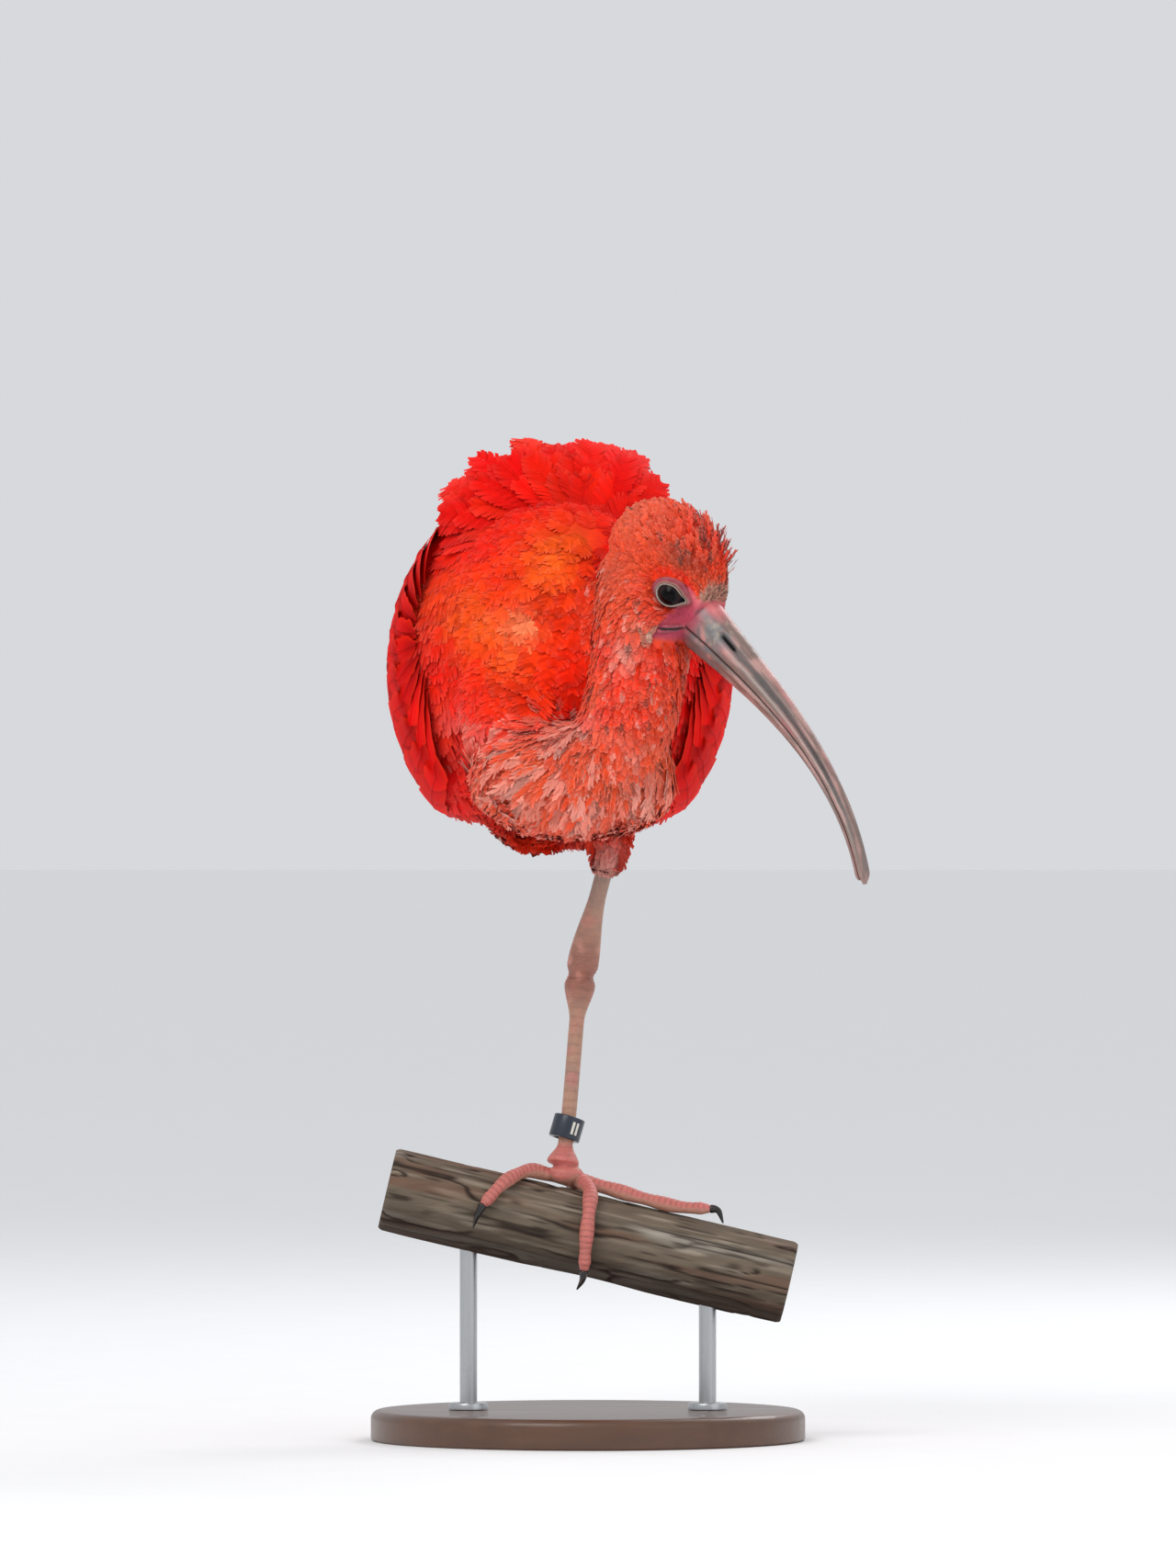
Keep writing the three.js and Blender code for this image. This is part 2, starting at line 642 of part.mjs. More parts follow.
function wingFeathers(side) {
  return wingTiers.flatMap((tier) =>
    Array.from({ length: tier.count }, (_, i) => {
      const share = tier.count > 1 ? i / (tier.count - 1) : 0;
      const s = lerp(tier.s[0], tier.s[1], share);
      const length = lerp(tier.length[0], tier.length[1], share) * (1 + 0.04 * Math.sin(i * 2.3));
      const root = { s, v: lerp(tier.v[0], tier.v[1], share), lift: tier.lift[0] };
      const tip = { s: s + length, v: lerp(tier.tipV[0], tier.tipV[1], share), lift: tier.lift[1] };
      return wingFeather(side, root, tip, tier.half, { point: tier.point, camber: 0, stations: tier.stations });
    }),
  );
}

const wingForm = (side) => join(wingArm(side), wingFeathers(side));

/** The space that the folded wing takes up with all its feathers, which the mantle is cut to. */
function wingSpace(side) {
  const [rows, columns] = [10, 5];
  const [top, bottom] = [[], []];
  for (let r = 0; r <= rows; r++) {
    const s = lerp(wingFront - 6, wingTip - 20, r / rows);
    const depth = lerp(11, 7.5, smoothstep(s, 40, 110));
    const places = Array.from({ length: columns + 1 }, (_, c) => lerp(-0.15, 1.16, c / columns));
    top.push(places.map((v) => onWing(side, s, v, depth)));
    bottom.push(places.map((v) => onWing(side, s, v, -6)));
  }
  return solid(plateBetween(top, bottom));
}

/** One tail feather. Its place runs from -1 on the bird's right to 1 on its left. */
function tailFeather(place) {
  const swing = place * tailSpread;
  const layer = Math.abs(place) * (tailFeathers - 1) / 2 - 0.5 + (place > 0 ? 0.5 : 0);
  const heading = backwards.clone().multiplyScalar(Math.cos(swing)).addScaledVector(across, Math.sin(swing));
  const drop = 3.4 - tailLayer * layer;
  const root = onTorso(tailRoot, 0, 0, 1, 0).addScaledVector(across, place * 8).addScaledVector(over, drop);
  const length = tailLength * (1 - 0.06 * place ** 2);
  const line = (t) => root.clone().addScaledVector(heading, t * length).addScaledVector(over, -3 * t * t);
  const out = () => over.clone().addScaledVector(across, place * 0.12);
  return vane(line, out, tailFeatherWidth / 2, { point: 0.62, camber: 0, stations: [0, 0.86, 1] });
}

function tailForm() {
  const root = limb(
    [at(-13, 20, 355), at(-13, 20, 355)].map((p, i) => p.addScaledVector(backwards, tailRoot - 8 + i * 42)),
    (t) => lerp(12.5, 4, smoothstep(t, 0.2, 1)),
    { sides: 12, steps: 4, flatten: 0.7 },
  );
  const feathers = Array.from({ length: tailFeathers }, (_, i) => tailFeather((2 * i) / (tailFeathers - 1) - 1));
  return join(root, feathers);
}

/** The mantle's thickness over the back, at s and at an angle from straight up. */
function mantleLift(s, lean) {
  const alongShare = smoothstep(s, mantleFront, -28) * (1 - smoothstep(s, 15, mantleRear));
  const acrossShare = Math.sqrt(Math.max(0, 1 - (lean / degToRad(43)) ** 6));
  return 1 + mantleHump * alongShare * acrossShare;
}

function mantleCore() {
  const [rows, columns] = [7, 7];
  const [top, bottom] = [[], []];
  for (let r = 0; r <= rows; r++) {
    const s = lerp(mantleFront, mantleRear, r / rows);
    const [over_, under] = [[], []];
    for (let c = 0; c <= columns; c++) {
      const lean = degToRad(lerp(-40, 40, c / columns)) * (0.65 + 0.35 * smoothstep(s, mantleFront, -20));
      over_.push(onTorso(s, Math.PI / 2 - lean, mantleLift(s, lean)));
      under.push(onTorso(s, Math.PI / 2 - lean, -4));
    }
    top.push(over_);
    bottom.push(under);
  }
  return solid(plateBetween(top, bottom));
}

// Rows of mantle feathers from the rear forward: s at the root, length, how far the tips stand up, spread in degrees.
const mantleRows = [
  { s: 52, count: 3, length: 46, rise: 2, spread: 20, half: 15 },
  { s: 22, count: 4, length: 42, rise: 4, spread: 26, half: 14 },
  { s: -8, count: 5, length: 38, rise: 8, spread: 27, half: 12.5 },
  { s: -36, count: 5, length: 32, rise: 8, spread: 22, half: 11 },
];

function mantleFeathers() {
  return mantleRows.flatMap((row, n) =>
    Array.from({ length: row.count }, (_, i) => {
      const share = (2 * i) / (row.count - 1) - 1;
      const lean = degToRad(share * row.spread);
      const splay = degToRad(share * 4);
      const length = row.length * (1 + 0.08 * Math.sin(i * 2.1 + n));
      const rise = row.rise * (1 + 0.3 * Math.sin(i * 1.7 + n * 2));
      const place = (t) => {
        const [s, angle] = [row.s + length * t, Math.PI / 2 - lean - splay * t];
        const base = mantleLift(row.s, lean) * 0.62;
        return onTorso(s, angle, lerp(base, Math.max(base, mantleLift(s, lean) + 0.8), t) + rise * t * t);
      };
      const outwards = (t) => {
        const [s, angle] = [row.s + length * t, Math.PI / 2 - lean - splay * t];
        return onTorso(s, angle, 12).sub(onTorso(s, angle, 0)).normalize();
      };
      return vane(place, outwards, row.half, { point: 0.45, camber: 0, roll: -share * 0.1, stations: [0, 0.62, 1] });
    }),
  );
}

/** The plate ring on the leg, a short tube that slants down to the bird's left. */
function bandForm() {
  const profile = [
    [bandBore, -bandHeight / 2],
    [bandRadius, -bandHeight / 2],
    [bandRadius, bandHeight / 2],
    [bandBore, bandHeight / 2],
    [bandBore, -bandHeight / 2],
  ].map(([r, z]) => new THREE.Vector2(r, z));
  const ring = new THREE.LatheGeometry(profile, 22).rotateX(Math.PI / 2);
  ring.rotateY(degToRad(16));
  ring.rotateX(degToRad(-8));
  return solid(ring.applyMatrix4(moved(at(-9.7, 3.6, 143.5))));
}

/** The base: a disc with a rounded upper edge. */
function baseForm() {
  const profile = [new THREE.Vector2(0, 0), new THREE.Vector2(baseRadius - 1, 0), new THREE.Vector2(baseRadius, 1)];
  for (let i = 0; i <= 2; i++) {
    const turn = (i / 2) * (Math.PI / 2);
    profile.push(
      new THREE.Vector2(baseRadius - baseEdge + baseEdge * Math.cos(turn), baseHeight - baseEdge + baseEdge * Math.sin(turn)),
    );
  }
  profile.push(new THREE.Vector2(0, baseHeight));
  return solid(new THREE.LatheGeometry(profile, 36).rotateX(Math.PI / 2));
}

/** A rod with a collar, from the base up into the branch, which cuts it to fit. */
function rodForm(x) {
  const foot = baseHeight + GAP;
  const profile = [
    [0, foot],
    [collarRadius, foot],
    [collarRadius, foot + collarHeight - 1],
    [collarRadius - 1, foot + collarHeight],
    [rodRadius, foot + collarHeight],
    [rodRadius, branchMiddle.z - x * Math.tan(branchSlope)],
    [0, branchMiddle.z - x * Math.tan(branchSlope)],
  ].map(([r, z]) => new THREE.Vector2(r, z));
  return solid(new THREE.LatheGeometry(profile, 12).rotateX(Math.PI / 2).translate(x, 0, 0));
}

const finishes = {
  scarlet: { color: 0xe8260f, roughness: 0.7 },
  crimson: { color: 0xb81208, roughness: 0.65 },
  coral: { color: 0xe0543a, roughness: 0.75 },
  skin: { color: 0xd98a80, roughness: 0.55 },
  horn: { color: 0xb89a94, roughness: 0.4 },
  eye: { color: 0x0b0f18, roughness: 0.08 },
  claw: { color: 0x24211f, roughness: 0.45 },
  bark: { color: 0x6b5f50, roughness: 0.95 },
  ring: { color: 0x18222e, roughness: 0.35 },
  ebony: { color: 0x1d1a18, roughness: 0.35 },
  steel: { color: 0x8a8c90, roughness: 0.3, metalness: 1 },
};

const group = new THREE.Group();

/** Adds one named node to the model, as its largest closed surface. */
function add(name, body, finish) {
  const mesh = largest(body).getMesh();
  const geometry = new THREE.BufferGeometry();
  geometry.setAttribute("position", new THREE.BufferAttribute(new Float32Array(mesh.vertProperties), 3));
  geometry.setIndex(new THREE.BufferAttribute(mesh.triVerts, 1));
  geometry.computeVertexNormals();
  const node = new THREE.Mesh(geometry, new THREE.MeshStandardMaterial(finishes[finish]));
  node.name = name;
  group.add(node);
}

// The stand and the branch.
add("stand_base", baseForm(), "ebony");
add("stand_rod_right", cut(rodForm(-rodSpread / 2), branchForm(GAP)), "steel");
add("stand_rod_left", cut(rodForm(rodSpread / 2), branchForm(GAP)), "steel");
add("perch_branch", branchForm(), "bark");

// The head, with the eyes in their sockets, and the bill in front of it.
const eyes = [1, -1].map((side) => eyeForm(side, GAP));
const head = cut(join(headForm(), lids(1), lids(-1)), eyes, gape(1), gape(-1));
add("head", head, "coral");
add("eye_left", eyeForm(1), "eye");
add("eye_right", eyeForm(-1), "eye");
add("bill_upper", cut(mandible(true), headForm(GAP), nostril(1), nostril(-1)), "horn");
add("bill_lower", cut(mandible(false), headForm(GAP)), "horn");

// The standing leg, the drawn-up leg and the torso with sockets for both.
const legTools = [thighLeftForm(GAP), thighRightForm(GAP), tibiaRightForm(GAP), rightLegHollow()];
add("torso", cut(torsoForm(), legTools, headForm(GAP)), "scarlet");
add("thigh_left", cut(thighLeftForm(), tibiaLeftForm(GAP)), "scarlet");
add("thigh_right", cut(thighRightForm(), tibiaRightForm(GAP), tarsusRightForm(GAP)), "scarlet");
add("tibia_left", tibiaLeftForm(), "skin");
add("tibia_right", tibiaRightForm(), "skin");
add("tarsus_left", cut(tarsusLeftForm(), tibiaLeftForm(GAP), footLeftForm(GAP)), "skin");
add("tarsus_right", cut(tarsusRightForm(), tibiaRightForm(GAP), footRightForm(GAP)), "skin");
add("leg_band", bandForm(), "ring");
for (const name of Object.keys(standingToes)) {
  const claw = cut(clawForm(overBranch(standingClaws[name])), footLeftForm(GAP), branchForm(GAP));
  add(`claw_left_${name}`, claw, "claw");
  add(`claw_right_${name}`, cut(clawForm(clenchedToe(name).claw), footRightForm(GAP)), "claw");
}
add("foot_left", cut(footLeftForm(), branchForm(GAP)), "skin");
add("foot_right", footRightForm(), "skin");

// The neck in three lengths.
const torsoTool = torsoForm(GAP);
add("neck_lower", cut(neckLowerForm(), torsoTool, neckFoldForm(GAP), neckUpperForm(GAP)), "scarlet");
add("neck_fold", cut(neckFoldForm(), torsoTool), "coral");
const eyeSpaces = [eyeForm(1, 3.2), eyeForm(-1, 3.2)];
add("neck_upper", cut(neckUpperForm(), torsoTool, neckFoldForm(GAP), headForm(GAP), eyeSpaces, billRootSpace()), "coral");

// The plumage: wings, mantle and tail.
const neckTools = [neckLowerForm(GAP), neckFoldForm(GAP), neckUpperForm(GAP), headForm(GAP)];
add("wing_left", cut(wingForm(1), torsoTool, neckTools, thighLeftForm(GAP)), "crimson");
add("wing_right", cut(wingForm(-1), torsoTool, neckTools, thighRightForm(GAP)), "crimson");
add("mantle", cut(join(mantleCore(), mantleFeathers()), torsoTool, wingSpace(1), wingSpace(-1), neckTools), "scarlet");
add("tail", cut(tailForm(), torsoTool), "crimson");

export default group;
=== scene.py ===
"""A life-size still model of a scarlet ibis that stands on one leg on a cut branch.

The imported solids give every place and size. This script dresses them: one skin under the plumage,
feathers over it, wings, mantle and tail vane by vane, the eyes and their lids, the bill, the scaled
legs, the ring on one of them, and the branch on its stand. Sizes are in millimetres, as in the
solids, and Build.mesh() brings them to metres.
"""
import json
import logging
import math
from dataclasses import dataclass, field
from enum import Enum
from typing import Any, Callable, Sequence

import bmesh
import bpy
import numpy as np
from mathutils import Matrix, Vector
from mathutils.bvhtree import BVHTree

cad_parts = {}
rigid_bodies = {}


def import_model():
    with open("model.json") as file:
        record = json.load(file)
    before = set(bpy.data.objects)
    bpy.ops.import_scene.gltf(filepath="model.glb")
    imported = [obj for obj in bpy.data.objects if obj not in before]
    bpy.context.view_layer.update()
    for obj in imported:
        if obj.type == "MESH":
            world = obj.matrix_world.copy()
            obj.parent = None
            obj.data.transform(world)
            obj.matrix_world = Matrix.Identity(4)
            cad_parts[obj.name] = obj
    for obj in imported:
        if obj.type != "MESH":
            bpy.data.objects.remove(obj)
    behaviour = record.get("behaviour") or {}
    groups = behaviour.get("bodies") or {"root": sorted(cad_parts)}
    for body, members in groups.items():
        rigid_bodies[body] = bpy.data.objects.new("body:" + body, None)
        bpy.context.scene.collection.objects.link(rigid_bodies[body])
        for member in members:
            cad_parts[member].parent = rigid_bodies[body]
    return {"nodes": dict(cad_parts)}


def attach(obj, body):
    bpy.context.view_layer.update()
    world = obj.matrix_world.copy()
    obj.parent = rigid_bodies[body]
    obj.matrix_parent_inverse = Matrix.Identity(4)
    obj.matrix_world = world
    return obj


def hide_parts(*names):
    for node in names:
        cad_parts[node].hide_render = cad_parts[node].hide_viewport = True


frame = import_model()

log = logging.getLogger("scarlet_ibis")
MM = 0.001
Array = np.ndarray


def smooth(x: Array | float, low: float, high: float) -> Array:
    """A smooth step from 0 at low to 1 at high."""
    t = np.clip((np.asarray(x, float) - low) / (high - low), 0.0, 1.0)
    return t * t * (3.0 - 2.0 * t)


def lerp(a: Array | float, b: Array | float, t: Array | float) -> Array:
    """The value at share t of the way from a to b."""
    return a + (b - a) * t


def unit(v: Array) -> Array:
    """The vectors of the last axis at length one."""
    return v / np.maximum(np.linalg.norm(v, axis=-1, keepdims=True), 1e-9)


def dot(a: Array, b: Array) -> Array:
    """The dot products along the last axis."""
    return np.sum(a * b, axis=-1)


def spline(points: Sequence[Sequence[float]], count: int) -> Array:
    """Evenly spaced points on a smooth curve through the given ones.

    Args:
        points: What the curve passes through.
        count: How many points to give.

    Returns:
        A count by 3 array.
    """
    p = np.asarray(points, float)
    p = np.vstack([2 * p[0] - p[1], p, 2 * p[-1] - p[-2]])
    dense = []
    for i in range(1, len(p) - 2):
        t = np.linspace(0, 1, 24, endpoint=False)[:, None]
        a, b, c, d = p[i - 1 : i + 3]
        cubic = (3 * b - a - 3 * c + d) * t**3
        dense.append(0.5 * (2 * b + (c - a) * t + (2 * a - 5 * b + 4 * c - d) * t**2 + cubic))
    line = np.vstack([*dense, p[-2:-1]])
    far = np.concatenate([[0], np.cumsum(np.linalg.norm(np.diff(line, axis=0), axis=1))])
    at = np.linspace(0, far[-1], count)
    return np.stack([np.interp(at, far, line[:, k]) for k in range(3)], axis=1)


def ripple(points: Array, size: float, seed: int = 0) -> Array:
    """Soft value noise from -1 to 1.

    Args:
        points: Where to read it, in millimetres.
        size: The width of one swell.
        seed: Which of the patterns.

    Returns:
        One value a point.
    """
    q = np.asarray(points, float) / size + seed * 17.31
    cell = np.floor(q).astype(np.int64)
    f = q - cell
    f = f * f * (3 - 2 * f)
    total = np.zeros(len(q))
    for corner in range(8):
        step = np.array([corner & 1, corner >> 1 & 1, corner >> 2 & 1])
        c = cell + step
        h = (c[:, 0] * 73856093) ^ (c[:, 1] * 19349663) ^ (c[:, 2] * 83492791) ^ (seed * 2654435)
        h = ((h ^ (h >> 13)) * 1274126177) & 0x7FFFFFFF
        share = np.prod(np.where(step == 1, f, 1 - f), axis=1)
        total += share * (h / 0x3FFFFFFF - 1.0)
    return total


def word(side: int) -> str:
    """The name of the bird's left, 1, or right, -1."""
    return "left" if side > 0 else "right"


def rolled(side: Array, over: Array, angle: Array | float) -> tuple[Array, Array]:
    """Two directions at right angles, both turned by an angle about the third."""
    c, s = np.cos(angle), np.sin(angle)
    return side * c + over * s, over * c - side * s


def bell(x: Array, middle: float, width: float) -> Array:
    """A soft peak of height one at the middle."""
    return np.exp(-(((x - middle) / width) ** 2))


def paint(code: str) -> Array:
    """A colour in light's own scale from its six-digit code."""
    s = np.array([int(code[i : i + 2], 16) for i in (0, 2, 4)]) / 255.0
    return np.where(s <= 0.04045, s / 12.92, ((s + 0.055) / 1.055) ** 2.4)


def mix(base: Array, colour: Array, share: Array | float) -> Array:
    """Base colours turned towards one colour by a share for each point."""
    share = np.asarray(share, float)
    if share.ndim == 1:
        share = share[:, None]
    return base * (1 - share) + colour * share


class Dye:
    """The colours of the bird, its bare parts and its stand."""

    SCARLET = paint("FA0A04")
    FIRE = paint("FF420C")
    AMBER = paint("FF7A22")
    CRIMSON = paint("B4060A")
    SALMON = paint("E85E38")
    CORAL = paint("EA3C14")
    BLUSH = paint("F6B0A0")
    PEACH = paint("F89A66")
    TAWNY = paint("6E4638")
    SMOKE = paint("8A7870")
    ASH = paint("A89C8A")
    LORE = paint("B4465A")
    ROSE = paint("E27078")
    SHELL = paint("C9A096")
    SLATE = paint("6C6E70")
    HORN = paint("7C6860")
    UMBER = paint("4A3A34")
    BLACK = paint("120E0E")
    SHANK = paint("B58A74")
    TOE = paint("CC6E66")
    HOCK = paint("9C5A4C")
    NAVY = paint("1C2636")
    PALE = paint("D8D4C8")
    BARK = paint("6E6254")
    SAWN = paint("B79A74")
    STAIN = paint("5A3B28")
    STEEL = paint("B4B6B8")


class Slot(str, Enum):
    """The record's material slots."""

    SCARLET = "scarlet_plumage"
    NECK = "neck_plumage"
    WING = "wing_plumage"
    EYE = "eye"
    BILL = "bill_horn"
    LEG = "leg_skin"
    CLAW = "claw_horn"
    RING = "leg_ring"
    BARK = "bark"
    WOOD = "stand_wood"
    STEEL = "stand_steel"


@dataclass(frozen=True)
class Finish:
    """A procedural finish over a piece's own painted colours.

    Fine noise varies the colour, and up to three layers of relief follow one another: grain, the
    edges of small plates, and lines that follow the piece's own "Lie" attribute.
    """

    name: str
    roughness: float = 0.6
    rough_swing: float = 0.12
    mottle: float = 0.12
    mottle_size: float = 3.0
    grain: float = 0.1
    grain_size: float = 1.0
    cells: float = 0.0
    cell_size: float = 1.5
    lines: float = 0.0
    line_pitch: float = 0.6
    stretch: tuple[float, float, float] = (1.0, 1.0, 1.0)
    sheen: float = 0.0
    coat: float = 0.0
    metal: float = 0.0
    specular: float = 0.5
    scatter: float = 0.0

    def material(self) -> bpy.types.Material:
        """Builds the finish's node tree.

        Returns:
            The material, made once for each finish.
        """
        made = bpy.data.materials.get(self.name)
        if made:
            return made
        made = bpy.data.materials.new(self.name)
        made.use_nodes = True
        tree = made.node_tree
        tree.nodes.clear()

        def node(kind: str, feeds: dict[str | int, Any], **settings: str) -> bpy.types.Node:
            """Adds a node, each of its inputs set to a value or linked to another node's output."""
            made_node = tree.nodes.new("ShaderNode" + kind)
            for key, value in settings.items():
                setattr(made_node, key, value)
            for key, value in feeds.items():
                if isinstance(value, bpy.types.NodeSocket):
                    tree.links.new(value, made_node.inputs[key])
                else:
                    made_node.inputs[key].default_value = value
            return made_node

        place = node("TexCoord", {}).outputs["Object"]
        spot = node("Mapping", {"Vector": place, "Scale": self.stretch}).outputs["Vector"]

        def noise(size: float, detail: float) -> bpy.types.NodeSocket:
            """A noise of the given size in millimetres."""
            feeds = {"Scale": 1.0 / (size * MM), "Detail": detail, "Vector": spot}
            return node("TexNoise", feeds).outputs["Fac"]

        relief: dict[str | int, Any] = {}

        def raise_by(height: bpy.types.NodeSocket, depth: float) -> None:
            """Adds one layer of relief, its depth in millimetres."""
            bump = node("Bump", {"Distance": depth * MM, "Strength": 0.8, "Height": height, **relief})
            relief["Normal"] = bump.outputs["Normal"]

        blotch = noise(self.mottle_size, 3.0)
        swing = node("MapRange", {"To Min": 1.0 - self.mottle, "To Max": 1.0 + self.mottle, "Value": blotch})
        tint = node("Attribute", {}, attribute_name="Tint").outputs["Color"]
        shade = node("VectorMath", {0: tint, "Scale": swing.outputs["Result"]}, operation="SCALE")
        glossiest = max(0.02, self.roughness - self.rough_swing)
        dullest = min(1.0, self.roughness + self.rough_swing)
        matt = node("MapRange", {"To Min": glossiest, "To Max": dullest, "Value": blotch})
        if self.grain:
            raise_by(noise(self.grain_size, 5.0), self.grain)
        if self.cells:
            scale = 1.0 / (self.cell_size * MM)
            crazing = node("TexVoronoi", {"Scale": scale, "Vector": spot}, feature="DISTANCE_TO_EDGE")
            plate = node("MapRange", {"From Max": 0.12, "Value": crazing.outputs["Distance"]})
            raise_by(plate.outputs["Result"], self.cells)
        if self.lines:
            lie = node("Attribute", {}, attribute_name="Lie")
            along = node("SeparateXYZ", {"Vector": lie.outputs["Vector"]}).outputs["X"]
            turns = node("Math", {0: along, 1: 2 * math.pi / self.line_pitch}, operation="MULTIPLY")
            wave = node("Math", {0: turns.outputs["Value"]}, operation="SINE")
            raise_by(wave.outputs["Value"], self.lines)
        skin = node("BsdfPrincipled", {
            "Base Color": shade.outputs["Vector"], "Roughness": matt.outputs["Result"],
            "Metallic": self.metal, "Specular IOR Level": self.specular,
            "Sheen Weight": self.sheen, "Sheen Roughness": 0.4,
            "Coat Weight": self.coat, "Coat Roughness": 0.06,
            "Subsurface Weight": self.scatter, "Subsurface Radius": (1.0, 0.35, 0.2),
            "Subsurface Scale": 0.002, **relief,
        })
        node("OutputMaterial", {"Surface": skin.outputs["BSDF"]})
        return made


class Finishes:
    """The finishes of the model."""

    DOWN = Finish("down_and_skin", 0.85, mottle=0.2, grain=0.5, grain_size=1.6, specular=0.15)
    PLUME = Finish("soft_plume", 0.8, mottle=0.1, mottle_size=2.0, grain=0.0, sheen=0.04, specular=0.07)
    VANE = Finish("flight_vane", 0.68, mottle=0.12, mottle_size=6.0, grain=0.05, lines=0.05, line_pitch=0.75,
                  specular=0.07)
    FACE = Finish("bare_face", 0.5, mottle=0.25, mottle_size=1.6, grain=0.35, grain_size=1.2, cells=0.12,
                  cell_size=1.1, scatter=0.2, specular=0.45)
    LID = Finish("eyelid", 0.5, mottle=0.12, mottle_size=0.8, grain=0.12, grain_size=0.6, specular=0.4,
                 lines=0.05, line_pitch=0.7)
    EYE = Finish("eye_gloss", 0.06, 0.02, mottle=0.25, mottle_size=1.2, grain=0.0, specular=0.1)
    HORN = Finish("grooved_horn", 0.42, mottle=0.22, mottle_size=2.6, grain=0.12, grain_size=0.9,
                  coat=0.15, specular=0.45)
    SCUTE = Finish("leg_scales", 0.48, mottle=0.16, mottle_size=2.0, grain=0.1, grain_size=0.8, cells=0.14,
                   cell_size=1.5, scatter=0.12)
    CLAW = Finish("black_horn", 0.36, mottle=0.3, mottle_size=2.0, grain=0.05, grain_size=0.7, coat=0.2)
    RING = Finish("ring_plastic", 0.38, mottle=0.08, mottle_size=2.0, grain=0.02, grain_size=0.5, coat=0.2)
    BARK = Finish("dry_bark", 0.9, 0.08, mottle=0.45, mottle_size=5.0, grain=0.9, grain_size=2.2,
                  stretch=(0.2, 1.0, 1.0), specular=0.2)
    WOOD = Finish("stained_wood", 0.4, mottle=0.35, mottle_size=7.0, grain=0.12, grain_size=1.6,
                  stretch=(0.12, 1.0, 1.0), coat=0.25)
    STEEL = Finish("brushed_steel", 0.3, 0.1, mottle=0.06, mottle_size=1.0, grain=0.02, grain_size=0.5,
                   stretch=(1.0, 1.0, 0.05), metal=1.0)
    FLOOR = Finish("pale_floor", 0.8, mottle=0.02, mottle_size=40.0, grain=0.05)


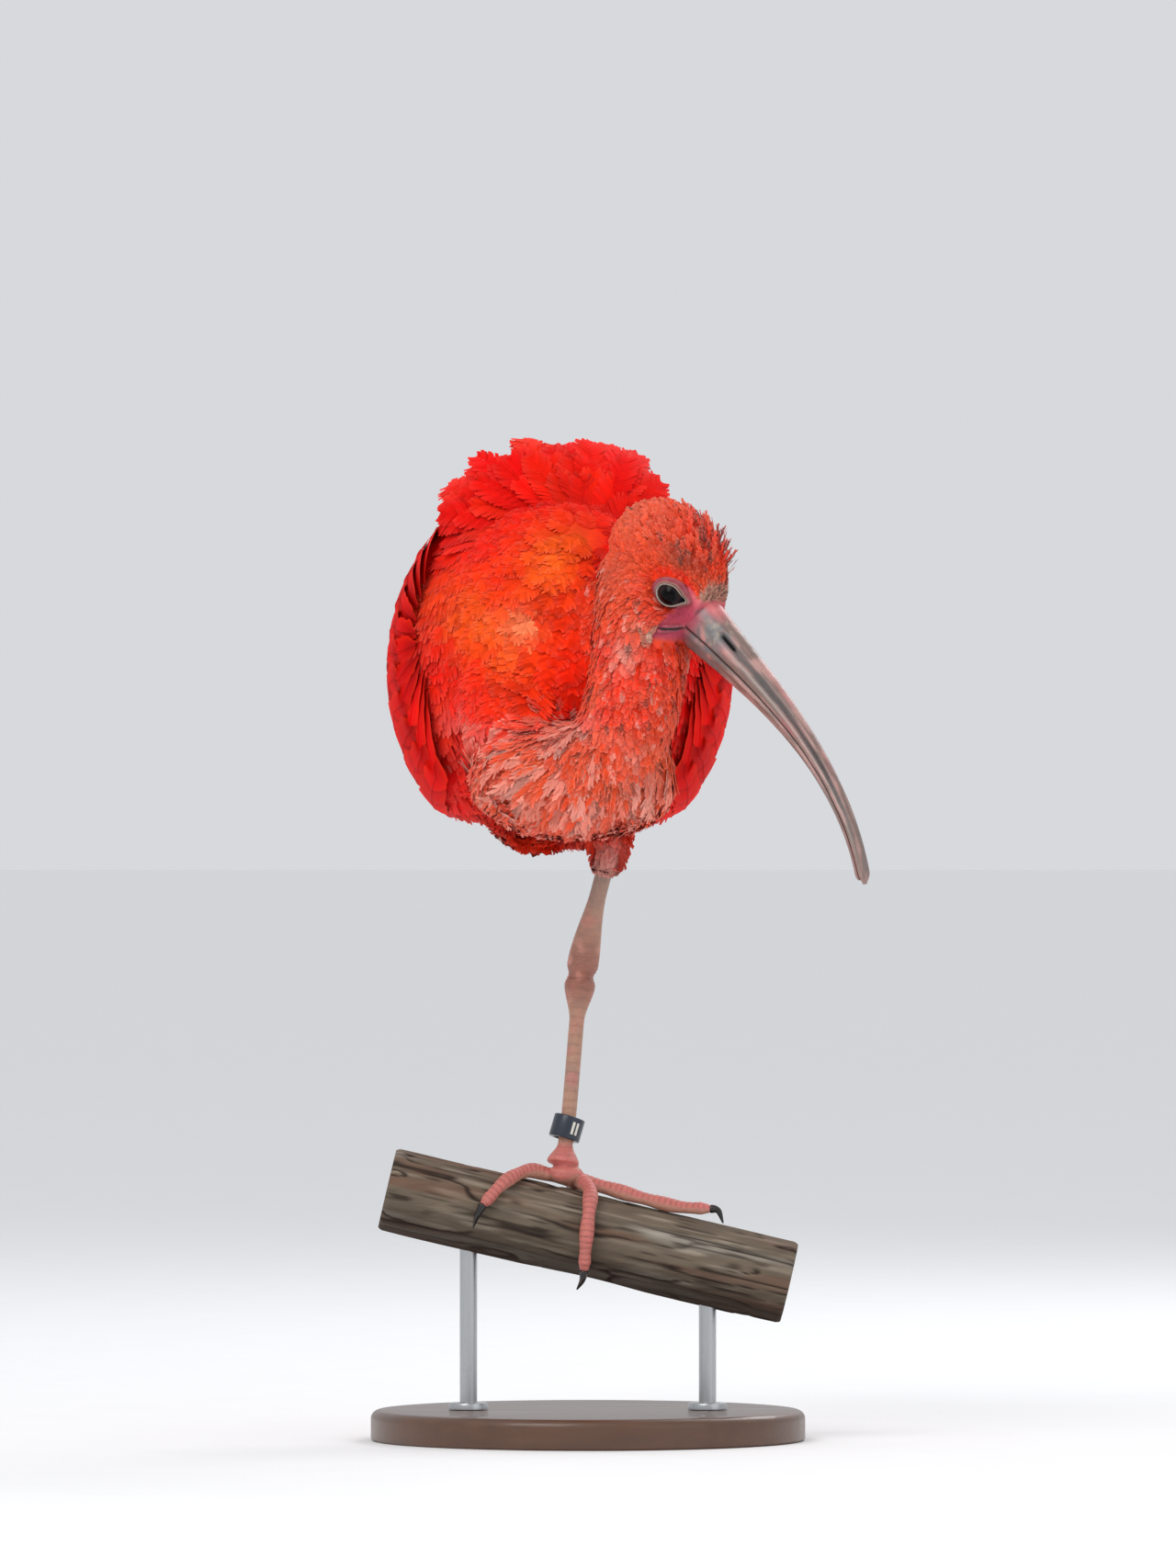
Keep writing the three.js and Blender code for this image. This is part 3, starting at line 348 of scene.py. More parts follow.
class Build:
    """Turns arrays into pieces that ride on the body."""

    @staticmethod
    def mesh(name: str, points: Array, quads: Array, tint: Array, lie: Array | None = None,
             uv: Array | None = None, is_smooth: bool = True) -> bpy.types.Object:
        """Makes a mesh object of four-sided faces.

        Args:
            name: The object's name.
            points: The vertices, in millimetres.
            quads: Four vertex numbers a face.
            tint: One colour a vertex.
            lie: The vertex's place along its own vane or limb, in millimetres, if the finish reads it.
            uv: One place a vertex on the OFBake map.
            is_smooth: Whether the faces share their normals.

        Returns:
            The object, at the origin.
        """
        data = bpy.data.meshes.new(name)
        quads = np.asarray(quads, np.int32)
        data.vertices.add(len(points))
        data.vertices.foreach_set("co", (np.asarray(points) * MM).astype(np.float32).ravel())
        data.loops.add(quads.size)
        data.loops.foreach_set("vertex_index", quads.ravel())
        data.polygons.add(len(quads))
        data.polygons.foreach_set("loop_start", np.arange(0, quads.size, 4, dtype=np.int32))
        data.update(calc_edges=True)
        data.polygons.foreach_set("use_smooth", np.full(len(quads), is_smooth))
        Build.dye(data, tint)
        if lie is not None:
            Build.lay(data, lie)
        if uv is not None:
            layer = data.uv_layers.new(name="OFBake")
            layer.data.foreach_set("uv", uv[quads.ravel()].astype(np.float32).ravel())
        made = bpy.data.objects.new(name, data)
        bpy.context.scene.collection.objects.link(made)
        return made

    @staticmethod
    def dye(data: bpy.types.Mesh, tint: Array) -> None:
        """Writes one colour a vertex as the attribute that every finish reads."""
        old = data.color_attributes.get("Tint")
        if old:
            data.color_attributes.remove(old)
        colours = np.concatenate([np.clip(tint, 0, 1), np.ones((len(tint), 1))], axis=1)
        layer = data.color_attributes.new(name="Tint", type="FLOAT_COLOR", domain="POINT")
        layer.data.foreach_set("color", colours.astype(np.float32).ravel())

    @staticmethod
    def lay(data: bpy.types.Mesh, lie: Array) -> None:
        """Writes the place along a vane or limb as the attribute that lines follow."""
        along = np.zeros((len(lie), 3), np.float32)
        along[:, 0] = lie
        layer = data.attributes.new(name="Lie", type="FLOAT_VECTOR", domain="POINT")
        layer.data.foreach_set("vector", along.ravel())

    @staticmethod
    def finish(piece: bpy.types.Object, finish: Finish, slot: Slot, *nodes: str) -> bpy.types.Object:
        """Gives a piece its finish and its body, and hides the solids that it stands for.

        Args:
            piece: The object.
            finish: What it is finished in.
            slot: The record's slot. Not used.
            nodes: The solids that it stands for.

        Returns:
            The same object.
        """
        piece.data.materials.clear()
        piece.data.materials.append(finish.material())
        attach(piece, "root")
        if nodes:
            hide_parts(*nodes)
        log.info("%-24s %7d faces", piece.name, len(piece.data.polygons))
        return piece

    @staticmethod
    def grid(rows: int, columns: int, is_ring: bool = False, start: int = 0) -> Array:
        """The faces of a grid of rows by columns of vertices, closed round if it is a ring."""
        r, c = np.meshgrid(np.arange(rows - 1), np.arange(columns if is_ring else columns - 1), indexing="ij")
        d = (c + 1) % columns
        here, below = r * columns + start, (r + 1) * columns + start
        return np.stack([here + c, here + d, below + d, below + c], -1).reshape(-1, 4)

    @staticmethod
    def choose(*pieces: bpy.types.Object) -> None:
        """Selects the given objects and nothing else, the first of them active."""
        for other in bpy.context.view_layer.objects:
            other.select_set(False)
        for piece in pieces:
            piece.select_set(True)
        if pieces:
            bpy.context.view_layer.objects.active = pieces[0]

    @staticmethod
    def edit(piece: bpy.types.Object, *steps: Callable[[], set[str]]) -> None:
        """Runs steps on all of a piece in edit mode."""
        Build.choose(piece)
        bpy.ops.object.mode_set(mode="EDIT")
        bpy.ops.mesh.select_all(action="SELECT")
        for step in steps:
            step()
        bpy.ops.object.mode_set(mode="OBJECT")

    @staticmethod
    def crease(piece: bpy.types.Object, degrees: float) -> None:
        """Shades a piece smooth, apart from edges sharper than an angle."""
        Build.choose(piece)
        bpy.ops.object.shade_smooth_by_angle(angle=math.radians(degrees))

    @staticmethod
    def modify(piece: bpy.types.Object, kind: str, **settings: float | int | str | bool) -> None:
        """Adds one modifier, sets it and applies it."""
        Build.choose(piece)
        modifier = piece.modifiers.new(kind.lower(), kind)
        for key, value in settings.items():
            setattr(modifier, key, value)
        bpy.ops.object.modifier_apply(modifier=modifier.name)

    @staticmethod
    def points(piece: bpy.types.Object) -> Array:
        """The vertices of a piece, in millimetres."""
        co = np.zeros(len(piece.data.vertices) * 3, np.float32)
        piece.data.vertices.foreach_get("co", co)
        return co.reshape(-1, 3).astype(float) / MM

    @staticmethod
    def normals(piece: bpy.types.Object) -> Array:
        """The normals of a piece's vertices."""
        no = np.zeros(len(piece.data.vertices) * 3, np.float32)
        piece.data.vertex_normals.foreach_get("vector", no)
        return no.reshape(-1, 3).astype(float)

    @staticmethod
    def move(piece: bpy.types.Object, points: Array) -> None:
        """Puts a piece's vertices at new places, in millimetres."""
        piece.data.vertices.foreach_set("co", (points * MM).astype(np.float32).ravel())
        piece.data.update()

    @staticmethod
    def join(name: str, pieces: Sequence[bpy.types.Object]) -> bpy.types.Object:
        """Makes one piece of several, under a new name."""
        Build.choose(*pieces)
        bpy.ops.object.join()
        whole = bpy.context.view_layer.objects.active
        whole.name = name
        whole.data.name = name
        return whole

    @staticmethod
    def fuse(name: str, pieces: Sequence[bpy.types.Object], voxel: float, rounds: int) -> bpy.types.Object:
        """Joins overlapping closed pieces into one smooth surface.

        Args:
            name: The new piece's name.
            pieces: What to join, which ends up in it.
            voxel: How fine the surface is, in millimetres.
            rounds: How often it is smoothed.

        Returns:
            The one object left.
        """
        whole = Build.join(name, pieces)
        Build.modify(whole, "REMESH", mode="VOXEL", voxel_size=voxel * MM, use_smooth_shade=True)
        Build.modify(whole, "SMOOTH", factor=0.5, iterations=rounds)
        return whole

    @staticmethod
    def copy_of(node: str, swell: float = 0.35) -> bpy.types.Object:
        """A copy of a solid with its doubles merged, swollen a little so that it meets its neighbours."""
        source = frame["nodes"][node]
        twin = bpy.data.objects.new(node + "_copy", source.data.copy())
        bpy.context.scene.collection.objects.link(twin)
        twin.data.materials.clear()
        Build.edit(twin, lambda: bpy.ops.mesh.remove_doubles(threshold=1e-5))
        Build.move(twin, Build.points(twin) + Build.normals(twin) * swell)
        return twin

    @staticmethod
    def tube(name: str, line: Array, radius: Array, sides: int, stretch: Array | None = None,
             up: Sequence[float] = (0, 0, 1)) -> bpy.types.Object:
        """A closed round limb along a line.

        Args:
            name: The object's name.
            line: The points of its middle.
            radius: Its radius at each of them.
            sides: How many vertices go round.
            stretch: Its height over its width at each point, or none for a round one.
            up: Roughly which way its height looks.

        Returns:
            The object, its vertices ring after ring.
        """
        ahead = unit(np.gradient(line, axis=0))
        side = unit(np.cross(np.broadcast_to(np.asarray(up, float), ahead.shape), ahead))
        over = np.cross(ahead, side)
        turn = np.arange(sides) / sides * 2 * math.pi
        tall = np.ones(len(line)) if stretch is None else stretch
        ring = (
            line[:, None]
            + side[:, None] * (np.cos(turn)[None, :, None] * radius[:, None, None])
            + over[:, None] * (np.sin(turn)[None, :, None] * (radius * tall)[:, None, None])
        )
        bulge = 0.4
        first = line[:1] - ahead[:1] * radius[0] * bulge
        last = line[-1:] + ahead[-1:] * radius[-1] * bulge
        points = np.vstack([ring.reshape(-1, 3), first, last])
        count = len(line) * sides
        faces = Build.grid(len(line), sides, is_ring=True)
        made = Build.mesh(name, points, faces, np.zeros((len(points), 3)))
        Build.cap(made, [(list(range(sides))[::-1], count), (list(range(count - sides, count)), count + 1)])
        return made

    @staticmethod
    def cap(piece: bpy.types.Object, ends: Sequence[tuple[list[int], int]]) -> None:
        """Closes each open ring of a piece with triangles to its own middle vertex."""
        shape = bmesh.new()
        shape.from_mesh(piece.data)
        shape.verts.ensure_lookup_table()
        for ring, middle in ends:
            for i, j in zip(ring, ring[1:] + ring[:1]):
                shape.faces.new([shape.verts[i], shape.verts[j], shape.verts[middle]]).smooth = True
        shape.to_mesh(piece.data)
        shape.free()

    @staticmethod
    def outwards(piece: bpy.types.Object) -> None:
        """Merges a piece's doubles and turns its faces outwards."""
        Build.edit(piece, lambda: bpy.ops.mesh.remove_doubles(threshold=1e-6),
                   lambda: bpy.ops.mesh.normals_make_consistent(inside=False))


@dataclass
class Studio:
    """The camera at the photograph's angle, soft lights, and a plain pale floor."""

    aim: tuple[float, float, float] = (0.0, -40.0, 302.0)
    distance: float = 6000.0
    frame_height: float = 717.0
    floor_reach: float = 40.0
    sky: tuple[float, float, float, float] = (0.68, 0.695, 0.72, 1.0)
    sky_strength: float = 1.0

    def camera(self) -> None:
        """Sets a level camera in front of the bird, its long side upright."""
        lens = bpy.data.cameras.new("camera")
        lens.sensor_width = 36.0
        lens.lens = 36.0 * self.distance / self.frame_height
        lens.clip_start = 0.1
        lens.clip_end = 100.0
        eye = bpy.data.objects.new("camera", lens)
        bpy.context.scene.collection.objects.link(eye)
        eye.location = Vector((self.aim[0], self.aim[1] - self.distance, self.aim[2])) * MM
        eye.rotation_euler = (math.radians(90), 0.0, 0.0)
        bpy.context.scene.camera = eye

    def light(self, name: str, place: tuple[float, float, float], size: float, watts: float,
              colour: tuple[float, float, float]) -> None:
        """Hangs a square soft light that looks at the bird."""
        lamp = bpy.data.lights.new(name, "AREA")
        lamp.size = size
        lamp.energy = watts
        lamp.color = colour
        holder = bpy.data.objects.new(name, lamp)
        bpy.context.scene.collection.objects.link(holder)
        holder.location = place
        holder.rotation_euler = (Vector((0, 0, 0.33)) - Vector(place)).to_track_quat("-Z", "Y").to_euler()

    def stage(self) -> None:
        """Lays the floor and fills the room with pale light."""
        side = self.floor_reach / MM
        points = np.array([(-side, -side, 0), (side, -side, 0), (side, side, 0), (-side, side, 0)])
        floor = Build.mesh("floor", points, np.array([[0, 1, 2, 3]]), np.full((4, 3), 0.95))
        floor.data.materials.append(Finishes.FLOOR.material())
        world = bpy.data.worlds.new("room")
        world.use_nodes = True
        room = world.node_tree.nodes["Background"]
        room.inputs["Color"].default_value = self.sky
        room.inputs["Strength"].default_value = self.sky_strength
        bpy.context.scene.world = world
        bpy.context.scene.view_settings.view_transform = "Standard"

    def build(self) -> None:
        """Sets up all of it."""
        self.camera()
        self.stage()
        self.light("key_light", (-0.9, -1.5, 1.9), 1.3, 21.0, (1.0, 0.985, 0.96))
        self.light("fill_light", (1.6, -1.5, 0.9), 1.6, 4.0, (0.94, 0.97, 1.0))
        self.light("rim_light", (0.9, 1.4, 1.5), 1.0, 12.0, (1.0, 1.0, 1.0))


@dataclass
class Torso:
    """The torso's own frame, which the wings, the mantle and the tail are laid on."""

    middle: tuple[float, float, float] = (-13.0, 20.0, 355.0)
    tilt: float = math.radians(16)
    half_width: float = 73.0
    half_height: float = 86.0
    front: float = 88.0
    rear: float = 150.0
    rump: float = 0.14

    @property
    def axes(self) -> tuple[Array, Array, Array]:
        """Across to the bird's left, backwards along it, and over it."""
        return (
            np.array([1.0, 0.0, 0.0]),
            np.array([0.0, math.cos(self.tilt), -math.sin(self.tilt)]),
            np.array([0.0, math.sin(self.tilt), math.cos(self.tilt)]),
        )

    def girth(self, s: Array) -> Array:
        """The girth at s as a share of the full one."""
        fore = np.sqrt(np.clip(1 - (s / self.front) ** 2, 0, 1))
        aft = self.rump + (1 - self.rump) * np.cos(np.clip(s / self.rear, 0, 1) * math.pi / 2)
        return np.where(s < 0, fore, aft)

    def at(self, s: Array, angle: Array, lift: Array | float = 0.0, side: float = 1.0,
           share: Array | None = None) -> Array:
        """Points on the torso.

        Args:
            s: How far back along it.
            angle: The angle up from its side, in radians.
            lift: How far off its surface.
            side: 1 for the bird's left, -1 for its right.
            share: The girth there, or none for the torso's own.

        Returns:
            One point for each of the values.
        """
        s, angle, lift = np.broadcast_arrays(np.asarray(s, float), angle, lift)
        g = self.girth(s) if share is None else share
        across, back, over = self.axes
        wide = side * np.cos(angle) * (self.half_width * g + lift)
        high = np.sin(angle) * (self.half_height * g + lift)
        core = np.asarray(self.middle) + back * s[..., None]
        return core + across * wide[..., None] + over * high[..., None]

    def inside(self, points: Array) -> tuple[Array, Array, Array]:
        """The torso's own s, side angle and share of girth of given points."""
        across, back, over = self.axes
        d = points - np.asarray(self.middle)
        s, wide, high = d @ back, d @ across, d @ over
        angle = np.arctan2(high / self.half_height, np.abs(wide) / self.half_width)
        return s, angle, np.hypot(wide / self.half_width, high / self.half_height)


@dataclass
class HeadFrame:
    """The head's frame: forward along the bill's root, to the bird's left, and up."""

    middle: tuple[float, float, float] = (36.0, -72.0, 403.0)
    yaw: float = math.radians(-40)
    pitch: float = math.radians(35)
    eye: tuple[float, float, float] = (19.5, 12.5, -4.0)
    eye_radius: float = 7.0

    @property
    def axes(self) -> Array:
        """The three directions as rows."""
        c, s = math.cos(self.yaw), math.sin(self.yaw)
        p, q = math.cos(self.pitch), math.sin(self.pitch)
        return np.array([[p * c, p * s, -q], [-s, c, 0.0], [q * c, q * s, p]])

    def out(self, places: Array) -> Array:
        """From the head's frame to the model's."""
        return np.asarray(self.middle) + np.asarray(places, float) @ self.axes

    def turn(self, directions: Array) -> Array:
        """Directions from the head's frame to the model's."""
        return np.asarray(directions, float) @ self.axes

    def into(self, points: Array) -> Array:
        """From the model's frame to the head's."""
        return (np.asarray(points, float) - np.asarray(self.middle)) @ self.axes.T


TORSO = Torso()
HEAD = HeadFrame()


class Face:
    """Where the face is bare and how its feathers are marked, by place in the head's frame."""

    @staticmethod
    def lore(h: Array) -> Array:
        """1 on the bare skin between the eye and the bill, 0 in the feathers."""
        x, y, z = h[:, 0], np.abs(h[:, 1]), h[:, 2]
        top = 4.5 - 0.28 * (x - 20)
        front = smooth(x, 22.0, 25.5) * smooth(top - z, -1.5, 1.5) * smooth(z, -17.5, -14.0)
        snout = smooth(x, 33.5, 36.0) * smooth(z, -30.0, -26.0) * smooth(z, 2.5, -1.0)
        return np.maximum(front, snout) * smooth(y, -1, 1)

    @staticmethod
    def chin(h: Array) -> Array:
        """1 on the bare skin of the chin behind the lower bill and along the line of the mouth."""
        x, z = h[:, 0], h[:, 2]
        return smooth(x, 20.0, 26.0) * smooth(-z, 13.5, 16.0) * smooth(z + 0.35 * (30 - x), -23.5, -20.5)

    @staticmethod
    def bare(h: Array) -> Array:
        """1 where no feather grows."""
        return np.maximum(Face.lore(h), Face.chin(h))

    @staticmethod
    def ring(h: Array) -> Array:
        """How far each place is from the nearer eye's middle, along the side of the head."""
        x, _, z = HEAD.eye
        return np.hypot((h[:, 0] - x) * 0.95, (h[:, 2] - z)) + 100 * (np.abs(h[:, 1]) < 6)


class Marking:
    """The plumage's colours by place, the same for the skin and for every feather."""

    @staticmethod
    def patch(p: Array, x: float, z: float, wide: float, tall: float, lean: float = 0.0) -> Array:
        """A soft patch on the front of the bird, leaning by an angle in degrees."""
        c, s = math.cos(math.radians(lean)), math.sin(math.radians(lean))
        dx, dz = p[:, 0] - x, p[:, 2] - z
        u, v = (dx * c + dz * s) / wide, (-dx * s + dz * c) / tall
        return np.exp(-(u * u + v * v)) * smooth(-p[:, 1], -40.0, 10.0)

    @staticmethod
    def body(p: Array) -> Array:
        """The torso's scarlet, with painted highlights on its front, painted shade at its sides and on its
        belly.
        """
        c = np.tile(Dye.SCARLET, (len(p), 1))
        s, _, _ = TORSO.inside(p)
        # Painted shade: darker red towards the sides, where the body turns away from the light.
        c = mix(c, Dye.CRIMSON, 0.55 * smooth(np.abs(p[:, 0] + 13), 48, 82) + 0.1)
        # Painted highlights: the orange and amber patches over the lit front, and the peach and pale pink
        # spots.
        c = mix(c, Dye.FIRE, 0.7 * Marking.patch(p, -24, 384, 24, 48, -20) * smooth(p[:, 2], 442, 420))
        c = mix(c, Dye.AMBER, 0.5 * Marking.patch(p, -13, 408, 12, 18, -30) * smooth(p[:, 2], 436, 416))
        c = mix(c, Dye.AMBER, 0.4 * Marking.patch(p, -56, 383, 12, 16, 30))
        c = mix(c, Dye.AMBER, 0.35 * Marking.patch(p, -38, 372, 9, 26, 25))
        c = mix(c, Dye.FIRE, 0.55 * Marking.patch(p, -68, 400, 12, 12))
        c = mix(c, Dye.PEACH, 0.6 * Marking.patch(p, -29, 379, 7, 8))
        c = mix(c, Dye.BLUSH, 0.65 * Marking.patch(p, -50, 332, 13, 6, -35))
        # The belly: partly its own deeper red, partly painted shade underneath.
        c = mix(c, Dye.CRIMSON, 0.6 * smooth(p[:, 2], 316, 288) * smooth(p[:, 1], 140, 40))
        c = mix(c, Dye.CORAL * 0.75, 0.55 * smooth(p[:, 2], 304, 280) * smooth(p[:, 1], 120, 20))
        c = mix(c, Dye.FIRE, 0.22 * smooth(ripple(p, 11, 3), 0.1, 0.9))
        c = mix(c, Dye.CRIMSON, 0.3 * smooth(ripple(p, 14, 4), 0.1, 0.8))
        return mix(c, Dye.CRIMSON, 0.3 * smooth(s, 60, 130))

    @staticmethod
    def neck(p: Array) -> Array:
        """The neck's coral, paler and smokier over the fold, and darker at its bottom as painted shade."""
        c = np.tile(Dye.CORAL, (len(p), 1))
        c = mix(c, Dye.SCARLET, 0.45 * smooth(ripple(p, 9, 5), -0.1, 0.7))
        c = mix(c, Dye.SALMON, 0.5 * smooth(ripple(p, 7, 6), 0.0, 0.8))
        fold = smooth(p[:, 2], 338, 312) * smooth(-p[:, 1], 40, 70)
        c = mix(c, Dye.SALMON, 0.55 * fold)
        c = mix(c, Dye.BLUSH, 0.42 * fold * smooth(ripple(p, 8, 7), 0.0, 0.7))
        c = mix(c, Dye.BLUSH, 0.5 * Marking.patch(p, -8, 330, 12, 5, 30))
        c = mix(c, Dye.SALMON, 0.4 * smooth(p[:, 2], 366, 388))
        # Painted shade: darker towards the bottom, as on the belly below.
        return mix(c, Dye.CRIMSON, 0.5 * smooth(p[:, 2], 298, 278))

    @staticmethod
    def thigh(p: Array) -> Array:
        """The thighs' duller red, pink at the lower edge."""
        c = np.tile(mix(Dye.CRIMSON[None], Dye.CORAL, 0.6)[0], (len(p), 1))
        return mix(c, Dye.SHELL, 0.75 * smooth(p[:, 2], 284, 260))

    @staticmethod
    def head(p: Array) -> Array:
        """The head's orange red, brown round the eye, ash grey at the forehead and the gape."""
        h = HEAD.into(p)
        x, y, z = h[:, 0], np.abs(h[:, 1]), h[:, 2]
        c = np.tile(mix(Dye.CORAL[None], Dye.SALMON, 0.25)[0], (len(p), 1))
        c = mix(c, Dye.SALMON, 0.7 * smooth(x, 4, -24) * smooth(z, -6, 12))
        c = mix(c, Dye.SCARLET, 0.5 * smooth(z, 8, 24) * smooth(x, -8, 18))
        c = mix(c, Dye.SALMON, 0.45 * smooth(ripple(p, 6, 8), 0.1, 0.8))
        brow = bell(x, 19, 9) * bell(z, 11, 5)
        cheek = bell(x, -8, 9) * bell(z, -12, 7)
        c = mix(c, Dye.TAWNY, 0.5 * brow)
        c = mix(c, Dye.TAWNY, 0.62 * cheek * smooth(y, 8, 14))
        c = mix(c, Dye.SCARLET, 0.65 * bell(Face.ring(h), 9.5, 2.2))
        c = mix(c, Dye.ASH, 0.75 * smooth(x, 29, 33) * smooth(z, -4, 2) * smooth(z, 14, 8))
        return mix(c, Dye.TAWNY, 0.3 * smooth(ripple(p, 4, 9), 0.35, 0.8) * smooth(x, -4, 14))

    @staticmethod
    def jaw(c: Array, p: Array) -> Array:
        """Adds the ash grey feathers over the gape and the pale lump under it."""
        h = HEAD.into(p)
        x, y, z = h[:, 0], np.abs(h[:, 1]), h[:, 2]
        gape = bell(x, 26, 6.5) * bell(z, -18, 3) * smooth(y, 5, 9)
        lump = bell(x, 25, 7) * bell(z, -30, 5) * smooth(y, 3, 8)
        c = mix(c, Dye.BLUSH * 0.9, 0.6 * lump)
        return mix(c, Dye.ASH, 0.85 * gape)

    @staticmethod
    def face(p: Array) -> Array:
        """The bare skin's rose and lore reds."""
        h = HEAD.into(p)
        c = np.tile(Dye.LORE, (len(p), 1))
        c = mix(c, Dye.ROSE, 0.85 * bell(h[:, 0], 31, 6) * bell(h[:, 2], 0.5, 3.4))
        c = mix(c, Dye.ROSE, 0.4 * smooth(ripple(p, 2.2, 10), 0.2, 0.8))
        c = mix(c, Dye.SLATE, 0.5 * smooth(h[:, 0], 31, 35) * smooth(ripple(p, 3, 11), -0.3, 0.5))
        return mix(c, Dye.UMBER, 0.35 * smooth(-h[:, 2], 21, 25))


@dataclass
class Roots:
    """Where a group of feathers grows: places, normals, the lie there, and places on the unwrap."""

    place: Array
    normal: Array
    flow: Array
    uv: Array
    shares: Array

    def only(self, keep: Array) -> "Roots":
        """The roots that a mask keeps."""
        return Roots(self.place[keep], self.normal[keep], self.flow[keep], self.uv[keep], self.shares[keep])


@dataclass
class Skin:
    """One skin for the torso, thighs, neck and head, below the solids by the coat's depth."""

    voxel: float = 1.6
    depth: dict[str, float] = field(default_factory=lambda: {
        "torso": 4.5, "neck_lower": 4.0, "thigh_left": 2.4, "thigh_right": 2.4,
        "neck_fold": 5.5, "neck_upper": 3.2, "head": 1.5,
    })
    blend: float = 5.0
    tries: int = 5
    hump: float = 14.0
    parting: tuple[float, float, float] = (6.0, -45.0, 432.0)
    fan: tuple[float, float, float] = (9.0, -96.0, 330.0)
    bill_root: tuple[float, float, float] = (39.0, 0.0, -7.0)
    ankle: tuple[float, float, float] = (4.0, 8.0, 240.0)

    points: Array = field(init=False, repr=False)
    norms: Array = field(init=False, repr=False)
    flow: Array = field(init=False, repr=False)
    shares: Array = field(init=False, repr=False)
    tris: Array = field(init=False, repr=False)
    tri_uv: Array = field(init=False, repr=False)
    tree: BVHTree = field(init=False, repr=False)

    def share_of(self, name: str) -> Array:
        """Each vertex's share in one of the fleshy parts."""
        return self.shares[:, list(self.depth).index(name)]

    def build(self) -> bpy.types.Object:
        """Builds the skin and keeps what the coat needs to know of it.

        Returns:
            The skin's object.
        """
        copies = [Build.copy_of(node) for node in self.depth]
        trees = [self.net(copy, [vertex.co / MM for vertex in copy.data.vertices]) for copy in copies]
        skin = Build.fuse("skin", copies, self.voxel, 4)
        p = Build.points(skin)
        far = np.array([[t.find_nearest(Vector(q))[3] for t in trees] for q in p.tolist()])
        nearest = far == far.min(axis=1, keepdims=True)
        near = bell(far, 0.0, self.blend) + 1e-6 * nearest + 1e-12
        self.shares = near / near.sum(axis=1, keepdims=True)
        self.sink(skin, p)
        self.flow = self.lie()
        Build.dye(skin.data, self.colours(self.points, self.shares))
        self.unwrap(skin)
        return Build.finish(skin, Finishes.DOWN, Slot.SCARLET, *self.depth)

    def sink(self, skin: bpy.types.Object, p: Array) -> None:
        """Lowers the skin by the coat's depth and raises the mantle's bed."""
        n = Build.normals(skin)
        depth = self.shares @ np.array(list(self.depth.values()))
        h = HEAD.into(p)
        is_head = self.share_of("head")
        bare = is_head * Face.bare(h)
        depth = lerp(depth, lerp(0.35, 1.6, smooth(Face.ring(h), 14, 9)), bare)
        s, angle, _ = TORSO.inside(p)
        lean = np.abs(math.pi / 2 - angle)
        dome = np.sqrt(np.clip(1 - (lean / 0.75) ** 3, 0, 1))
        lift = self.hump * smooth(s, -52, -28) * smooth(-s, -96, -15) * dome
        p = p + n * (lift * self.share_of("torso") - depth)[:, None]
        Build.move(skin, p)
        Build.modify(skin, "SMOOTH", factor=0.5, iterations=3)
        p = Build.points(skin)
        for side in (1, -1):
            p = Eye(side).clear(p)
        Build.move(skin, p)
        self.points = p
        self.norms = Build.normals(skin)
        self.tree = self.net(skin, [Vector(q) for q in p.tolist()])

    @staticmethod
    def net(piece: bpy.types.Object, points: list[Vector]) -> BVHTree:
        """A piece's faces over points in millimetres, ready to be asked for their nearest places."""
        return BVHTree.FromPolygons(points, [tuple(face.vertices) for face in piece.data.polygons])

    def lie(self) -> Array:
        """The way the feathers lie at each vertex."""
        p, n = self.points, self.norms
        s, _, _ = TORSO.inside(p)
        _, back, _ = TORSO.axes
        down = np.array([0.0, 0.0, -1.0])
        aft = smooth(s, -40, 35)[:, None]
        torso = unit(p - np.asarray(self.parting)) * (1 - aft) + (back + 0.3 * down) * aft
        torso = torso + 1.6 * back * smooth(p[:, 2], 305, 280)[:, None]
        fold = unit((p - np.asarray(self.fan)) * np.array([1.0, 0.6, 1.0]) + np.array([0.0, 0.0, -6.0]))
        upper = np.tile(unit(np.array([-0.08, -0.05, -1.0])), (len(p), 1))
        snout = HEAD.out(np.array([self.bill_root]))[0]
        head = unit(p - snout)
        shank = unit(np.asarray(self.ankle) - p)
        tucked = np.tile(unit(np.array([0.0, 1.0, -0.1])), (len(p), 1))
        ways = [torso, torso, shank, tucked, fold, upper, head]
        d = sum(way * self.shares[:, i : i + 1] for i, way in enumerate(ways))
        d = d - n * dot(d, n)[:, None]
        return unit(d)

    def colours(self, p: Array, shares: Array, has_bare: bool = True) -> Array:
        """The plumage's colour at given places.

        Args:
            p: The places.
            shares: Their shares in the fleshy parts.
            has_bare: Whether the bare face is painted too.

        Returns:
            One colour a place.
        """
        body, neck = Marking.body(p), Marking.neck(p)
        parts = [body, body, Marking.thigh(p), Marking.thigh(p), neck, neck, Marking.head(p)]
        c = sum(part * shares[:, i : i + 1] for i, part in enumerate(parts))
        c = Marking.jaw(c, p)
        if not has_bare:
            return c
        bare = Face.bare(HEAD.into(p))
        return c * (1 - bare[:, None]) + Marking.face(p) * bare[:, None]

